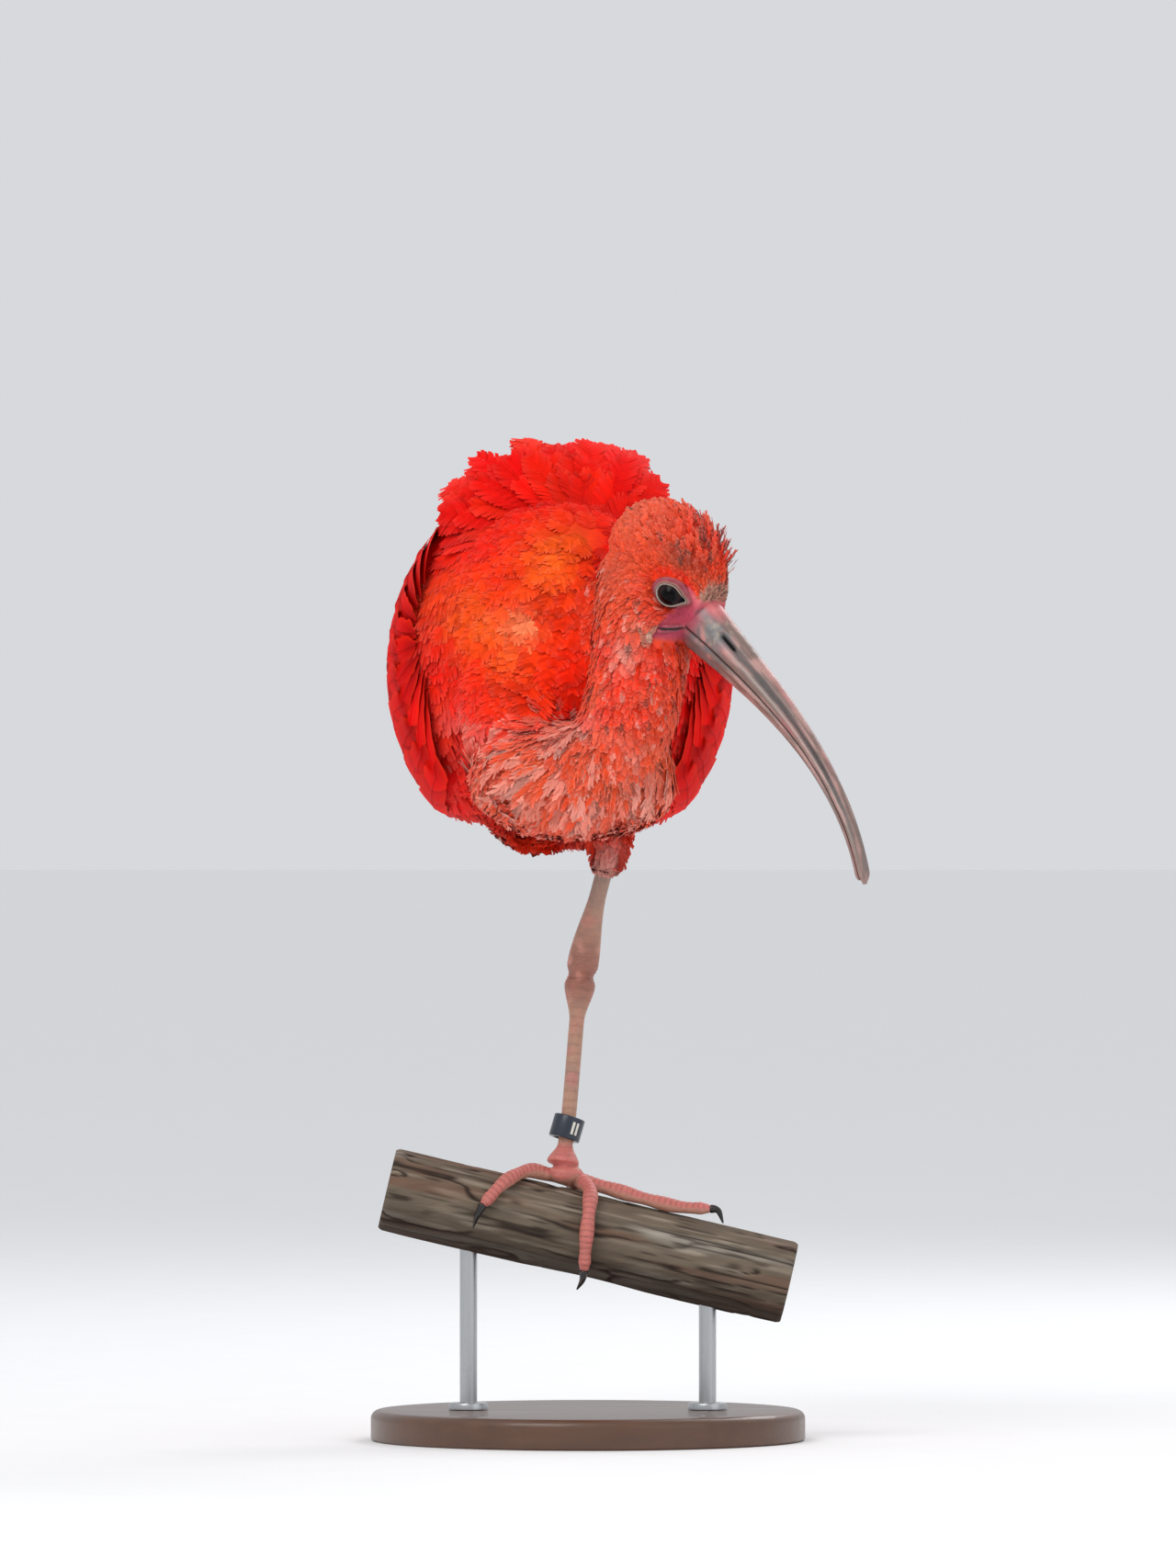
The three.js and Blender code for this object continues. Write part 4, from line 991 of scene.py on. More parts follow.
    def unwrap(self, skin: bpy.types.Object) -> None:
        """Unwraps the skin and keeps its triangles with their places on the unwrap."""
        Build.edit(skin, lambda: bpy.ops.uv.smart_project(angle_limit=math.radians(66), island_margin=0.001))
        data = skin.data
        data.uv_layers.active.name = "OFBake"
        data.calc_loop_triangles()
        tris = np.zeros(len(data.loop_triangles) * 3, np.int32)
        loops = np.zeros_like(tris)
        data.loop_triangles.foreach_get("vertices", tris)
        data.loop_triangles.foreach_get("loops", loops)
        uv = np.zeros(len(data.loops) * 2, np.float32)
        data.uv_layers["OFBake"].data.foreach_get("uv", uv)
        self.tris = tris.reshape(-1, 3)
        self.tri_uv = uv.reshape(-1, 2)[loops].reshape(-1, 3, 2)

    def scatter(self, mask: Array, spacing: float, rng: np.random.Generator) -> Roots:
        """Spreads roots evenly over part of the skin.

        Args:
            mask: From 0 to 1 at each vertex, how surely a feather grows there.
            spacing: About how far apart the roots are.
            rng: The seeded source of chance.

        Returns:
            The roots.
        """
        corner = self.points[self.tris]
        area = np.linalg.norm(np.cross(corner[:, 1] - corner[:, 0], corner[:, 2] - corner[:, 0]), axis=1) / 2
        worth = area * mask[self.tris].mean(axis=1)
        count = int(worth.sum() / spacing**2 * self.tries)
        pick = rng.choice(len(worth), count, p=worth / worth.sum())
        a, b = rng.random(count), rng.random(count)
        flip = a + b > 1
        a, b = np.where(flip, 1 - a, a), np.where(flip, 1 - b, b)
        share = np.stack([1 - a - b, a, b], axis=1)
        place = np.einsum("ij,ijk->ik", share, self.points[self.tris[pick]])
        cell = np.floor(place / spacing).astype(np.int64)
        key = (cell[:, 0] * 4099 + cell[:, 1]) * 4099 + cell[:, 2]
        _, first = np.unique(key, return_index=True)
        pick, share, place = pick[first], share[first], place[first]
        normal, flow, shares = (np.einsum("ij,ijk->ik", share, values[self.tris[pick]])
                                for values in (self.norms, self.flow, self.shares))
        uv = np.einsum("ij,ijk->ik", share, self.tri_uv[pick])
        return Roots(place, unit(normal), unit(flow), uv, shares)


@dataclass(frozen=True)
class Plume:
    """A feather's make: barbs in pairs along a shaft, fused near it and free at their tips."""

    pairs: int = 8
    joints: int = 2
    width: float = 0.34
    point: float = 0.75
    fringe: float = 0.35
    camber: float = 0.12
    unruly: float = 0.02
    roll: float = 0.05
    soft: float = 0.8

    def pattern(self) -> tuple[Array, Array, Array, Array]:
        """The feather laid flat, its shaft along y and its length one.

        Returns:
            The places (m, 2), the share along the barb (m), the number of the barb (m), and the faces.
        """
        places, along, number, faces = [], [], [], []
        for i in range(self.pairs):
            v = (i + 0.5) / self.pairs
            psi = math.radians(lerp(-48, 85, v))
            for side in (-1, 1):
                tip = np.array([side * self.width * math.cos(psi) ** self.point, 0.56 + 0.44 * math.sin(psi)])
                root = np.array([side * 0.003, lerp(0.03, 0.9, v**0.9)])
                knee = np.array([tip[0] * 0.6, lerp(root[1], tip[1], 0.3)])
                chord = tip - root
                sideways = np.array([-chord[1], chord[0]]) / np.linalg.norm(chord)
                start = sum(len(part) for part in places)
                for j in range(self.joints + 1):
                    q = j / self.joints
                    middle = root * (1 - q) ** 2 + knee * 2 * q * (1 - q) + tip * q * q
                    half = lerp(0.62, 0.46 * (1 - self.fringe), q) / self.pairs
                    places.append(np.array([middle - sideways * half, middle + sideways * half]))
                    along += [q, q]
                    number += [2 * i + (side > 0)] * 2
                for j in range(self.joints):
                    a = start + 2 * j
                    faces.append([a, a + 2, a + 3, a + 1])
        start = sum(len(part) for part in places)
        for y, half in ((0.0, 0.014), (0.5, 0.009), (0.95, 0.003)):
            places.append(np.array([[half, y], [-half, y]]))
            along += [-1.0, -1.0]
            number += [2 * self.pairs] * 2
        faces += [[start, start + 2, start + 3, start + 1], [start + 2, start + 4, start + 5, start + 3]]
        return np.vstack(places), np.array(along), np.array(number), np.array(faces)


@dataclass
class Coat:
    """Feathers that grow from the skin and follow its lie."""

    skin: Skin
    seed: int = 5053
    root_shade: float = 0.8

    def grow(self, name: str, roots: Roots, plume: Plume, length: Array, lift: Array, tint: Array,
             shaft: Array | None = None, streak: Array | None = None, swirl: float = 0.06,
             tip_pale: float = 0.14, curl: float = 0.0, slim: Array | float = 1.0) -> bpy.types.Object:
        """Grows one group of feathers as one piece.

        Args:
            name: The piece's name.
            roots: Where they grow.
            plume: How each is made.
            length: Each one's length.
            lift: How far each tip stands off the skin.
            tint: Each one's colour.
            shaft: Each one's shaft colour, or none for its own.
            streak: How dark each one's middle is, from 0 to 1.
            swirl: How far their lie wanders, in radians.
            tip_pale: How much paler the free tips are.
            curl: How far the tips bend sideways, as a share of the length.
            slim: Each one's width against its plume's.

        Returns:
            The piece, not yet finished.
        """
        rng = np.random.default_rng(self.seed + len(name) * 31 + len(roots.place))
        count = len(roots.place)
        flat, q, number, faces = plume.pattern()
        sway = rng.normal(0, swirl, count) + swirl * 1.5 * ripple(roots.place, 12.0, 21)
        p0, n0 = roots.place, roots.normal
        side0 = np.cross(roots.flow, n0)
        d0 = unit(roots.flow * np.cos(sway)[:, None] + side0 * np.sin(sway)[:, None])
        half_way, n_half = self.settle(p0 + d0 * (length * 0.5)[:, None])
        onward = unit(d0 - n_half * dot(d0, n_half)[:, None])
        p1, n1 = self.settle(half_way + onward * (length * 0.5)[:, None])
        n1 = unit(n1 + 0.35 * n_half)
        end = p1 + n1 * lift[:, None]
        base = p0 - n0 * 0.5
        knee = 2 * (half_way + n_half * (0.4 * lift + 0.2)[:, None]) - 0.5 * (base + end)
        t = np.clip(flat[:, 1], 0, 1.02)[None, :, None]
        b, k, e = base[:, None], knee[:, None], end[:, None]
        middle = b * (1 - t) ** 2 + k * 2 * t * (1 - t) + e * t * t
        forward = unit((k - b) * (1 - t) + (e - k) * t)
        normal = unit(n0[:, None] * (1 - t) + n1[:, None] * t)
        side = unit(np.cross(forward, normal))
        over = np.cross(side, forward)
        roll = rng.normal(0, plume.roll, count)[:, None, None]
        side, over = rolled(side, over, roll)
        jitter = rng.normal(0, plume.unruly, (count, 2 * plume.pairs + 1, 3))[:, number]
        free = np.clip(q, 0, 1)[None, :] ** 1.5
        size = length[:, None]
        x = (flat[None, :, 0] * np.broadcast_to(slim, count)[:, None] + jitter[..., 0] * free) * size
        x = x + rng.normal(0, 1, count)[:, None] * curl * size * t[..., 0] ** 2
        y = jitter[..., 1] * free * size
        z = (jitter[..., 2] * free * 0.6 - plume.camber * flat[None, :, 0] ** 2 / plume.width) * size
        z = z + np.where(q < 0, 0.008, 0.0)[None, :] * size
        points = middle + side * x[..., None] + forward * y[..., None] + over * z[..., None]
        colour = self.shade(flat, q, tint, shaft, streak, tip_pale, rng)
        barbs = rng.normal(0, 1, (count, 2 * plume.pairs + 1, 1))[:, number]
        colour = colour * (1 + 0.09 * barbs)
        soft = unit(normal * plume.soft + over * (1 - plume.soft) + side * 0.22 * barbs)
        m = len(flat)
        quads = (faces[None] + (np.arange(count) * m)[:, None, None]).reshape(-1, 4)
        local = np.stack([flat[:, 0] / plume.width * 0.5, flat[:, 1] - 0.5], axis=1) * 0.003
        uv = (roots.uv[:, None] + local[None]).reshape(-1, 2)
        piece = Build.mesh(name, points.reshape(-1, 3), quads, colour.reshape(-1, 3), uv=uv)
        piece.data.normals_split_custom_set_from_vertices(soft.reshape(-1, 3).tolist())
        return piece

    def settle(self, places: Array) -> tuple[Array, Array]:
        """The skin's nearest places to the given ones, and its normals there."""
        found = [self.skin.tree.find_nearest(Vector(place)) for place in places.tolist()]
        return np.array([f[0][:] for f in found]), np.array([f[1][:] for f in found])

    def shade(self, flat: Array, q: Array, tint: Array, shaft: Array | None, streak: Array | None,
              tip_pale: float, rng: np.random.Generator) -> Array:
        """Each vertex's colour: darker at the root, paler at the free tips, with its streak and shaft."""
        y = flat[None, :, 1, None]
        fringe = np.clip(q, 0, 1)[None, :, None]
        c = tint[:, None] * lerp(self.root_shade, 1.0, smooth(y, 0.1, 0.75))
        c = c * rng.normal(1.0, 0.07, (len(tint), 1, 1))
        pale = tip_pale * fringe**3 * smooth(y, 0.3, 0.9)
        c = c * (1 - pale) + Dye.BLUSH * pale
        if streak is not None:
            dark = streak[:, None, None] * (1 - smooth(fringe, 0.25, 0.8)) * smooth(y, 0.1, 0.45)
            c = c * (1 - dark) + Dye.UMBER * dark
        if shaft is not None:
            c = np.where((q < 0)[None, :, None], shaft[:, None], c)
        return c


@dataclass
class Plumage:
    """All the small feathers of the body, the neck and the head."""

    skin: Skin
    seed: int = 77

    def build(self) -> None:
        """Grows every group of feathers."""
        self.coat = Coat(self.skin)
        self.rng = np.random.default_rng(self.seed)
        self.body()
        self.mantle()
        self.thighs()
        self.fold()
        self.neck()
        self.head()
        self.crown()

    def tint(self, roots: Roots, ahead: float, swing: float = 0.08) -> Array:
        """The plumage's colour a little ahead of each root, with some chance in each feather."""
        places = roots.place + roots.normal * 3 + roots.flow * ahead
        c = self.skin.colours(places, roots.shares, has_bare=False)
        c = mix(c, Dye.FIRE, np.clip(self.rng.normal(0, swing, len(c)), 0, 0.4))
        return mix(c, Dye.CRIMSON, np.clip(self.rng.normal(0, swing, len(c)), 0, 0.4))

    def dress(self, slot: Slot, nodes: Sequence[str], name: str, *growth: Any, **looks: Any) -> None:
        """Grows one group of feathers and finishes it.

        Args:
            slot: The record's slot, handed on to Build.finish().
            nodes: The solids that it stands for.
            name: The piece's name.
            growth: The roots, the plume, the lengths, the lifts and the colours.
            looks: What else Coat.grow() is told.
        """
        piece = self.coat.grow(name, *growth, **looks)
        Build.finish(piece, Finishes.PLUME, slot, *nodes)

    def chance(self, roots: Roots, share: Array | float, worth: float) -> Array:
        """A worth for a share of the feathers, picked by chance, and 0 for the others."""
        return np.where(self.rng.random(len(roots.place)) < share, worth, 0.0)

    def under_wing(self, p: Array) -> Array:
        """1 where the folded wing hides the skin."""
        s, angle, _ = TORSO.inside(p)
        margin = math.radians(7)
        low, high = Wing.low(s) + margin, Wing.high(s) - margin
        return ((angle > low) & (angle < high) & (s > 2) & (s < 190)).astype(float)

    def under_mantle(self, p: Array) -> Array:
        """1 where the mantle's own feathers grow."""
        s, angle, _ = TORSO.inside(p)
        lean = math.pi / 2 - angle
        return smooth(lean, 0.84, 0.72) * smooth(s, -58, -46) * smooth(s, 84, 66)

    def body(self) -> None:
        """The breast, the sides, the belly and the rump."""
        skin = self.skin
        share = skin.share_of("torso") + skin.share_of("neck_lower")
        clear = (1 - 0.9 * self.under_wing(skin.points)) * (1 - 0.95 * self.under_mantle(skin.points))
        roots = skin.scatter(smooth(share, 0.3, 0.6) * clear, 4.4, self.rng)
        s, _, _ = TORSO.inside(roots.place)
        away = np.linalg.norm(roots.place - np.asarray(skin.parting), axis=1)
        length = lerp(15, 23, smooth(away, 20, 110)) * self.rng.normal(1, 0.07, len(s))
        length = length * lerp(1.0, 1.25, smooth(s, 60, 130))
        lift = 1.3 + 0.9 * self.rng.random(len(s)) + 1.0 * np.clip(ripple(roots.place, 18, 31), 0, 1)
        outer = smooth(np.abs(roots.place[:, 0] + 13), 34, 56)
        lift = lift + 7.5 * smooth(s, -70, -42) * smooth(s, 22, 0) * outer
        tint = self.tint(roots, 9)
        length = length * lerp(1.0, 1.4, smooth(s, -60, -34) * smooth(s, 22, 0))
        plume = Plume(pairs=11, joints=2, width=0.36, point=0.6, fringe=0.3)
        low = smooth(roots.place[:, 2], 318, 290)
        slim = lerp(1.0, 0.55, low)
        length = length * lerp(1.0, 0.75, low)
        lift = lift * lerp(1.0, 0.35, low)
        groups = {
            "breast_feathers": s < -16,
            "flank_feathers": (s >= -16) & (s < 52),
            "rump_feathers": s >= 52,
        }
        for name, keep in groups.items():
            self.dress(Slot.SCARLET, [], name, roots.only(keep), plume, length[keep], lift[keep], tint[keep],
                       tip_pale=0.06, slim=slim[keep])

    def mantle(self) -> None:
        """The mantle's broad soft feathers, ruffled up in a ragged ridge over the shoulders."""
        skin, rng = self.skin, self.rng
        mask = skin.share_of("torso") * self.under_mantle(skin.points)
        roots = skin.scatter(mask, 5.6, rng)
        s, _, _ = TORSO.inside(roots.place)
        count = len(s)
        length = lerp(26, 33, smooth(s, -50, 10)) * rng.normal(1, 0.08, count)
        x = roots.place[:, 0]
        swell = ripple(roots.place * (1, 0.3, 0.3), 9, 36)
        ruffle = np.clip(0.6 + 0.6 * swell + 0.5 * bell(x, -32, 9), 0, 1.3)
        lift = 3.5 + 8.0 * (ruffle + rng.random(count) ** 3) * bell(s, -34, 15) + rng.random(count)
        lift = lift * lerp(1.0, 0.3, np.maximum(smooth(x, 16, 32), smooth(x, -44, -58)))
        plume = Plume(pairs=13, joints=2, width=0.3, point=0.5, fringe=0.25, unruly=0.015, roll=0.12,
                      soft=0.65)
        self.dress(Slot.SCARLET, ["mantle"], "mantle_feathers", roots, plume, length, lift,
                   self.tint(roots, 9), tip_pale=0.04, swirl=0.1)

    def thighs(self) -> None:
        """The short trousers of the thighs, with longer, pinker plumes at the lower edge."""
        skin = self.skin
        share = skin.share_of("thigh_left") + skin.share_of("thigh_right")
        roots = skin.scatter(smooth(share, 0.25, 0.6), 3.2, self.rng)
        low = smooth(roots.place[:, 2], 285, 262)
        length = lerp(12, 8, low) * self.rng.normal(1, 0.1, len(low))
        plume = Plume(pairs=8, joints=2, width=0.22, point=0.9, fringe=0.4)
        lift = lerp(0.8, 0.2, low) + 0.3 * self.rng.random(len(low))
        self.dress(Slot.SCARLET, [], "thigh_feathers", roots, plume, length, lift, self.tint(roots, 6),
                   tip_pale=0.2)

    def fold(self) -> None:
        """The shaggy plumes that fan out over the fold of the neck."""
        skin, rng = self.skin, self.rng
        mask = smooth(skin.share_of("neck_fold"), 0.3, 0.65)
        roots = skin.scatter(mask, 2.9, rng)
        count = len(roots.place)
        away = np.linalg.norm((roots.place - np.asarray(skin.fan))[:, [0, 2]], axis=1)
        length = lerp(16, 30, smooth(away, 6, 42)) * rng.normal(1, 0.1, count)
        low = smooth(roots.place[:, 2], 300, 284)
        length = length * lerp(1.0, 0.7, low)
        lift = lerp(2.0, 6.0, smooth(away, 8, 45)) * lerp(1.0, 0.8, low) + 1.5 * rng.random(count)
        tint = self.tint(roots, 9, 0.16)
        tint = mix(tint, Dye.BLUSH, self.chance(roots, 0.22, 0.45))
        tint = mix(tint, Dye.SMOKE, self.chance(roots, 0.08, 0.5))
        streak = self.chance(roots, 0.1, 0.7)
        shaft = mix(tint, Dye.BLUSH, 0.5)
        plume = Plume(pairs=12, joints=2, width=0.1, point=0.85, fringe=0.6, unruly=0.03, roll=0.14)
        self.dress(Slot.NECK, [], "fold_plumes", roots, plume, length, lift, tint, shaft, streak,
                   swirl=0.12, tip_pale=0.22, curl=0.06)

    def neck(self) -> None:
        """The narrow plumes of the upper neck, ruffled at its edges."""
        skin, rng = self.skin, self.rng
        bare = smooth(Face.bare(HEAD.into(skin.points)), 0.2, 0.5)
        mask = smooth(skin.share_of("neck_upper"), 0.3, 0.6) * (1 - bare)
        roots = skin.scatter(mask, 2.1, rng)
        count = len(roots.place)
        length = lerp(13.5, 9.5, smooth(roots.place[:, 2], 345, 392)) * rng.normal(1, 0.12, count)
        lift = 0.9 + 1.3 * rng.random(count) ** 2 + 0.8 * np.clip(ripple(roots.place, 9, 33), 0, 1)
        tint = self.tint(roots, 5, 0.14)
        tint = mix(tint, Dye.BLUSH, self.chance(roots, 0.08, 0.4))
        spots = smooth(ripple(roots.place, 6, 34), 0.25, 0.6) * smooth(roots.place[:, 2], 372, 340)
        streak = self.chance(roots, 0.05 + 0.3 * spots, 0.8)
        plume = Plume(pairs=6, joints=1, width=0.12, point=1.0, fringe=0.45)
        self.dress(Slot.NECK, [], "neck_plumes", roots, plume, length, lift, tint, streak=streak,
                   swirl=0.1, tip_pale=0.16)

    def head(self) -> None:
        """The short feathers of the head, smallest at the bill and round the eyes."""
        skin, rng = self.skin, self.rng
        h = HEAD.into(skin.points)
        feathered = 1 - smooth(Face.bare(h), 0.2, 0.5)
        mask = smooth(skin.share_of("head"), 0.2, 0.4) * feathered * smooth(Face.ring(h), 7.8, 8.6)
        roots = skin.scatter(mask, 1.45, rng)
        h = HEAD.into(roots.place)
        count = len(h)
        small = np.maximum(smooth(h[:, 0], 14, 30), smooth(-Face.ring(h), -16, -8))
        length = lerp(7.2, 3.2, small) * rng.normal(1, 0.12, count)
        lift = lerp(0.9, 0.4, small) + 0.6 * rng.random(count) ** 2
        tint = self.tint(roots, 2.5, 0.14)
        ash = smooth(h[:, 0], 28, 33) * smooth(h[:, 2], -6, 2)
        tint = mix(tint, Dye.UMBER, self.chance(roots, 0.25 * ash, 0.6))
        spots = smooth(ripple(roots.place, 5.0, 35), 0.35, 0.7)
        crown = smooth(h[:, 2], 0, 10) * smooth(h[:, 0], -20, 0)
        streak = self.chance(roots, 0.02 + 0.16 * spots * crown, 0.85)
        plume = Plume(pairs=5, joints=1, width=0.14, point=1.0, fringe=0.4, unruly=0.03)
        self.dress(Slot.NECK, [], "head_feathers", roots, plume, length, lift, tint, streak=streak,
                   swirl=0.1, tip_pale=0.12)

    def crown(self) -> None:
        """The longer, raised feathers of the crown, many with dark shafts."""
        skin, rng = self.skin, self.rng
        h = HEAD.into(skin.points)
        mask = skin.share_of("head") * smooth(h[:, 2], 6, 13) * smooth(h[:, 0], -26, -10)
        mask = mask * smooth(-h[:, 0], -29, -24)
        roots = skin.scatter(mask * (mask > 0.3), 2.7, rng)
        h = HEAD.into(roots.place)
        count = len(h)
        length = lerp(9.5, 6.0, smooth(h[:, 0], -5, 26)) * rng.normal(1, 0.14, count)
        lift = lerp(2.2, 5.2, smooth(h[:, 0], -10, 20)) * rng.normal(1, 0.25, count)
        tint = self.tint(roots, 2.5, 0.2)
        dark = rng.random(count) < lerp(0.04, 0.42, smooth(h[:, 0], 2, 20))
        shaft = np.where(dark[:, None], Dye.UMBER, mix(tint, Dye.BLUSH, 0.3))
        plume = Plume(pairs=6, joints=1, width=0.15, point=1.2, fringe=0.45, unruly=0.06)
        self.dress(Slot.NECK, [], "crown_feathers", roots, plume, length, lift, tint, shaft, 0.9 * dark,
                   swirl=0.22, tip_pale=0.2)


class Vanes:
    """Large feathers, each a cambered vane with a raised shaft, joined in one piece."""

    across: Array = np.array([-1.0, -0.62, -0.3, -0.05, 0.0, 0.05, 0.3, 0.62, 1.0])

    share: Array = np.linspace(0, 1, 13) ** 0.85
    atlas: int = 24

    def __init__(self) -> None:
        """Starts with no feathers."""
        self.points: list[Array] = []
        self.tints: list[Array] = []
        self.lies: list[Array] = []
        self.uvs: list[Array] = []

    def add(self, line: Callable[[Array], Array], outwards: Callable[[Array], Array], half: float,
            tint: Array, tip: Array | None = None, point: float = 0.5, roll: float = 0.0,
            camber: float = 0.14, lopsided: float = 0.0, notch: float = 0.06, swept: float = 0.55,
            seed: int = 0) -> None:
        """Adds one feather.

        Args:
            line: Its shaft's places at shares from root to tip.
            outwards: The way its upper face looks there.
            half: Half of its width.
            tint: Its colour.
            tip: The colour towards its tip, or none for the same.
            point: How narrow the end is before it closes.
            roll: How far it is turned about its shaft, in radians.
            camber: How high its middle stands, as a share of half its width.
            lopsided: How much wider one side is, from -1 to 1.
            notch: How ragged the edges are.
            swept: How far the edges trail behind the shaft.
            seed: Which chance it follows.
        """
        rng = np.random.default_rng(9000 + seed)
        t = self.share
        middle = line(t)
        ahead = unit(line(np.minimum(t + 0.02, 1)) - line(np.maximum(t - 0.02, 0)))
        out = outwards(t)
        side = unit(np.cross(out, ahead))
        over = np.cross(ahead, side)
        side, over = rolled(side, over, roll)
        taper = (0.3 + 0.7 * smooth(t, 0, 0.35)) * np.sqrt(np.clip(1 - smooth(t, point, 1.04) ** 1.6, 0, 1))
        k = self.across
        wide = half * (1 + lopsided * np.sign(k) * 0.35)
        torn = notch * rng.normal(0, 1, (2, len(t), len(k))) * (np.abs(k) > 0.9)
        x = k * wide * taper[:, None] * (1 + torn[0])
        ragged = -np.abs(k) ** 2 * half * swept * smooth(t, 0.0, 0.3)[:, None] + half * torn[1]
        z = camber * half * (1 - k**2) * taper[:, None] + np.where(k == 0, 0.35, 0.0)
        sideways, upwards = side[:, None] * x[..., None], over[:, None] * z[..., None]
        points = middle[:, None] + sideways + upwards + ahead[:, None] * ragged[..., None]
        self.points.append(points.reshape(-1, 3))
        length = float(np.sum(np.linalg.norm(np.diff(middle, axis=0), axis=1)))
        along = t[:, None] * length
        self.lies.append((along - np.abs(x) * 0.9).ravel())
        # Painted shade: each vane darker towards its root, where the feathers over it cover it.
        base_shade = lerp(0.55, 1.0, smooth(t, 0.05, 0.6))[:, None, None]
        c = np.broadcast_to(tint, (len(t), len(k), 3)) * base_shade
        if tip is not None:
            far = smooth(t, 0.35, 0.62)[:, None, None]
            c = c * (1 - far) + tip * far
        rim = (np.abs(k) ** 4)[None, :, None] * 0.55
        c = c * (1 - rim) + mix(tint[None], Dye.FIRE, 0.35)[0] * rim
        c = c * np.where(k == 0, 0.6, 1.0)[None, :, None] * rng.normal(1, 0.05)
        self.tints.append(c.reshape(-1, 3))
        n = len(self.uvs)
        u, v = np.meshgrid(k * 0.5 + 0.5, t)
        places = np.array([n % self.atlas, n // self.atlas]) + 0.08 + 0.84 * np.stack([u, v], axis=-1)
        self.uvs.append(places.reshape(-1, 2) / self.atlas)

    def piece(self, name: str, bed: tuple[Array, Array, tuple[int, int]] | None = None) -> bpy.types.Object:
        """Joins the feathers.

        Args:
            name: The piece's name.
            bed: The places, colours and rows-by-columns of a closed sheet that the feathers grow from.

        Returns:
            The piece, not yet finished.
        """
        rows, columns = len(self.share), len(self.across)
        starts = [i * rows * columns for i in range(len(self.points))]
        faces = [Build.grid(rows, columns, start=start)[:, ::-1] for start in starts]
        if bed is not None:
            places, tint, shape = bed
            faces.append(Build.grid(*shape, start=len(faces) * rows * columns)[:, ::-1])
            self.points.append(places)
            self.tints.append(tint)
            self.lies.append(np.zeros(len(places)))
            r, c = np.divmod(np.arange(len(places)), shape[1])
            self.uvs.append(np.stack([0.75 + 0.24 * c / shape[1], 0.75 + 0.24 * r / shape[0]], axis=1))
        return Build.mesh(name, np.vstack(self.points), np.vstack(faces), np.vstack(self.tints),
                          np.concatenate(self.lies), np.vstack(self.uvs))


@dataclass(frozen=True)
class Tier:
    """A row of the folded wing's feathers: each pair of values is for its first and last feather."""

    count: int
    s: tuple[float, float]
    v: tuple[float, float]
    length: tuple[float, float]
    tip_v: tuple[float, float]
    lift: tuple[float, float]
    half: float
    point: float
    tint: Array = field(default_factory=lambda: Dye.SCARLET)
    tip: Array | None = None


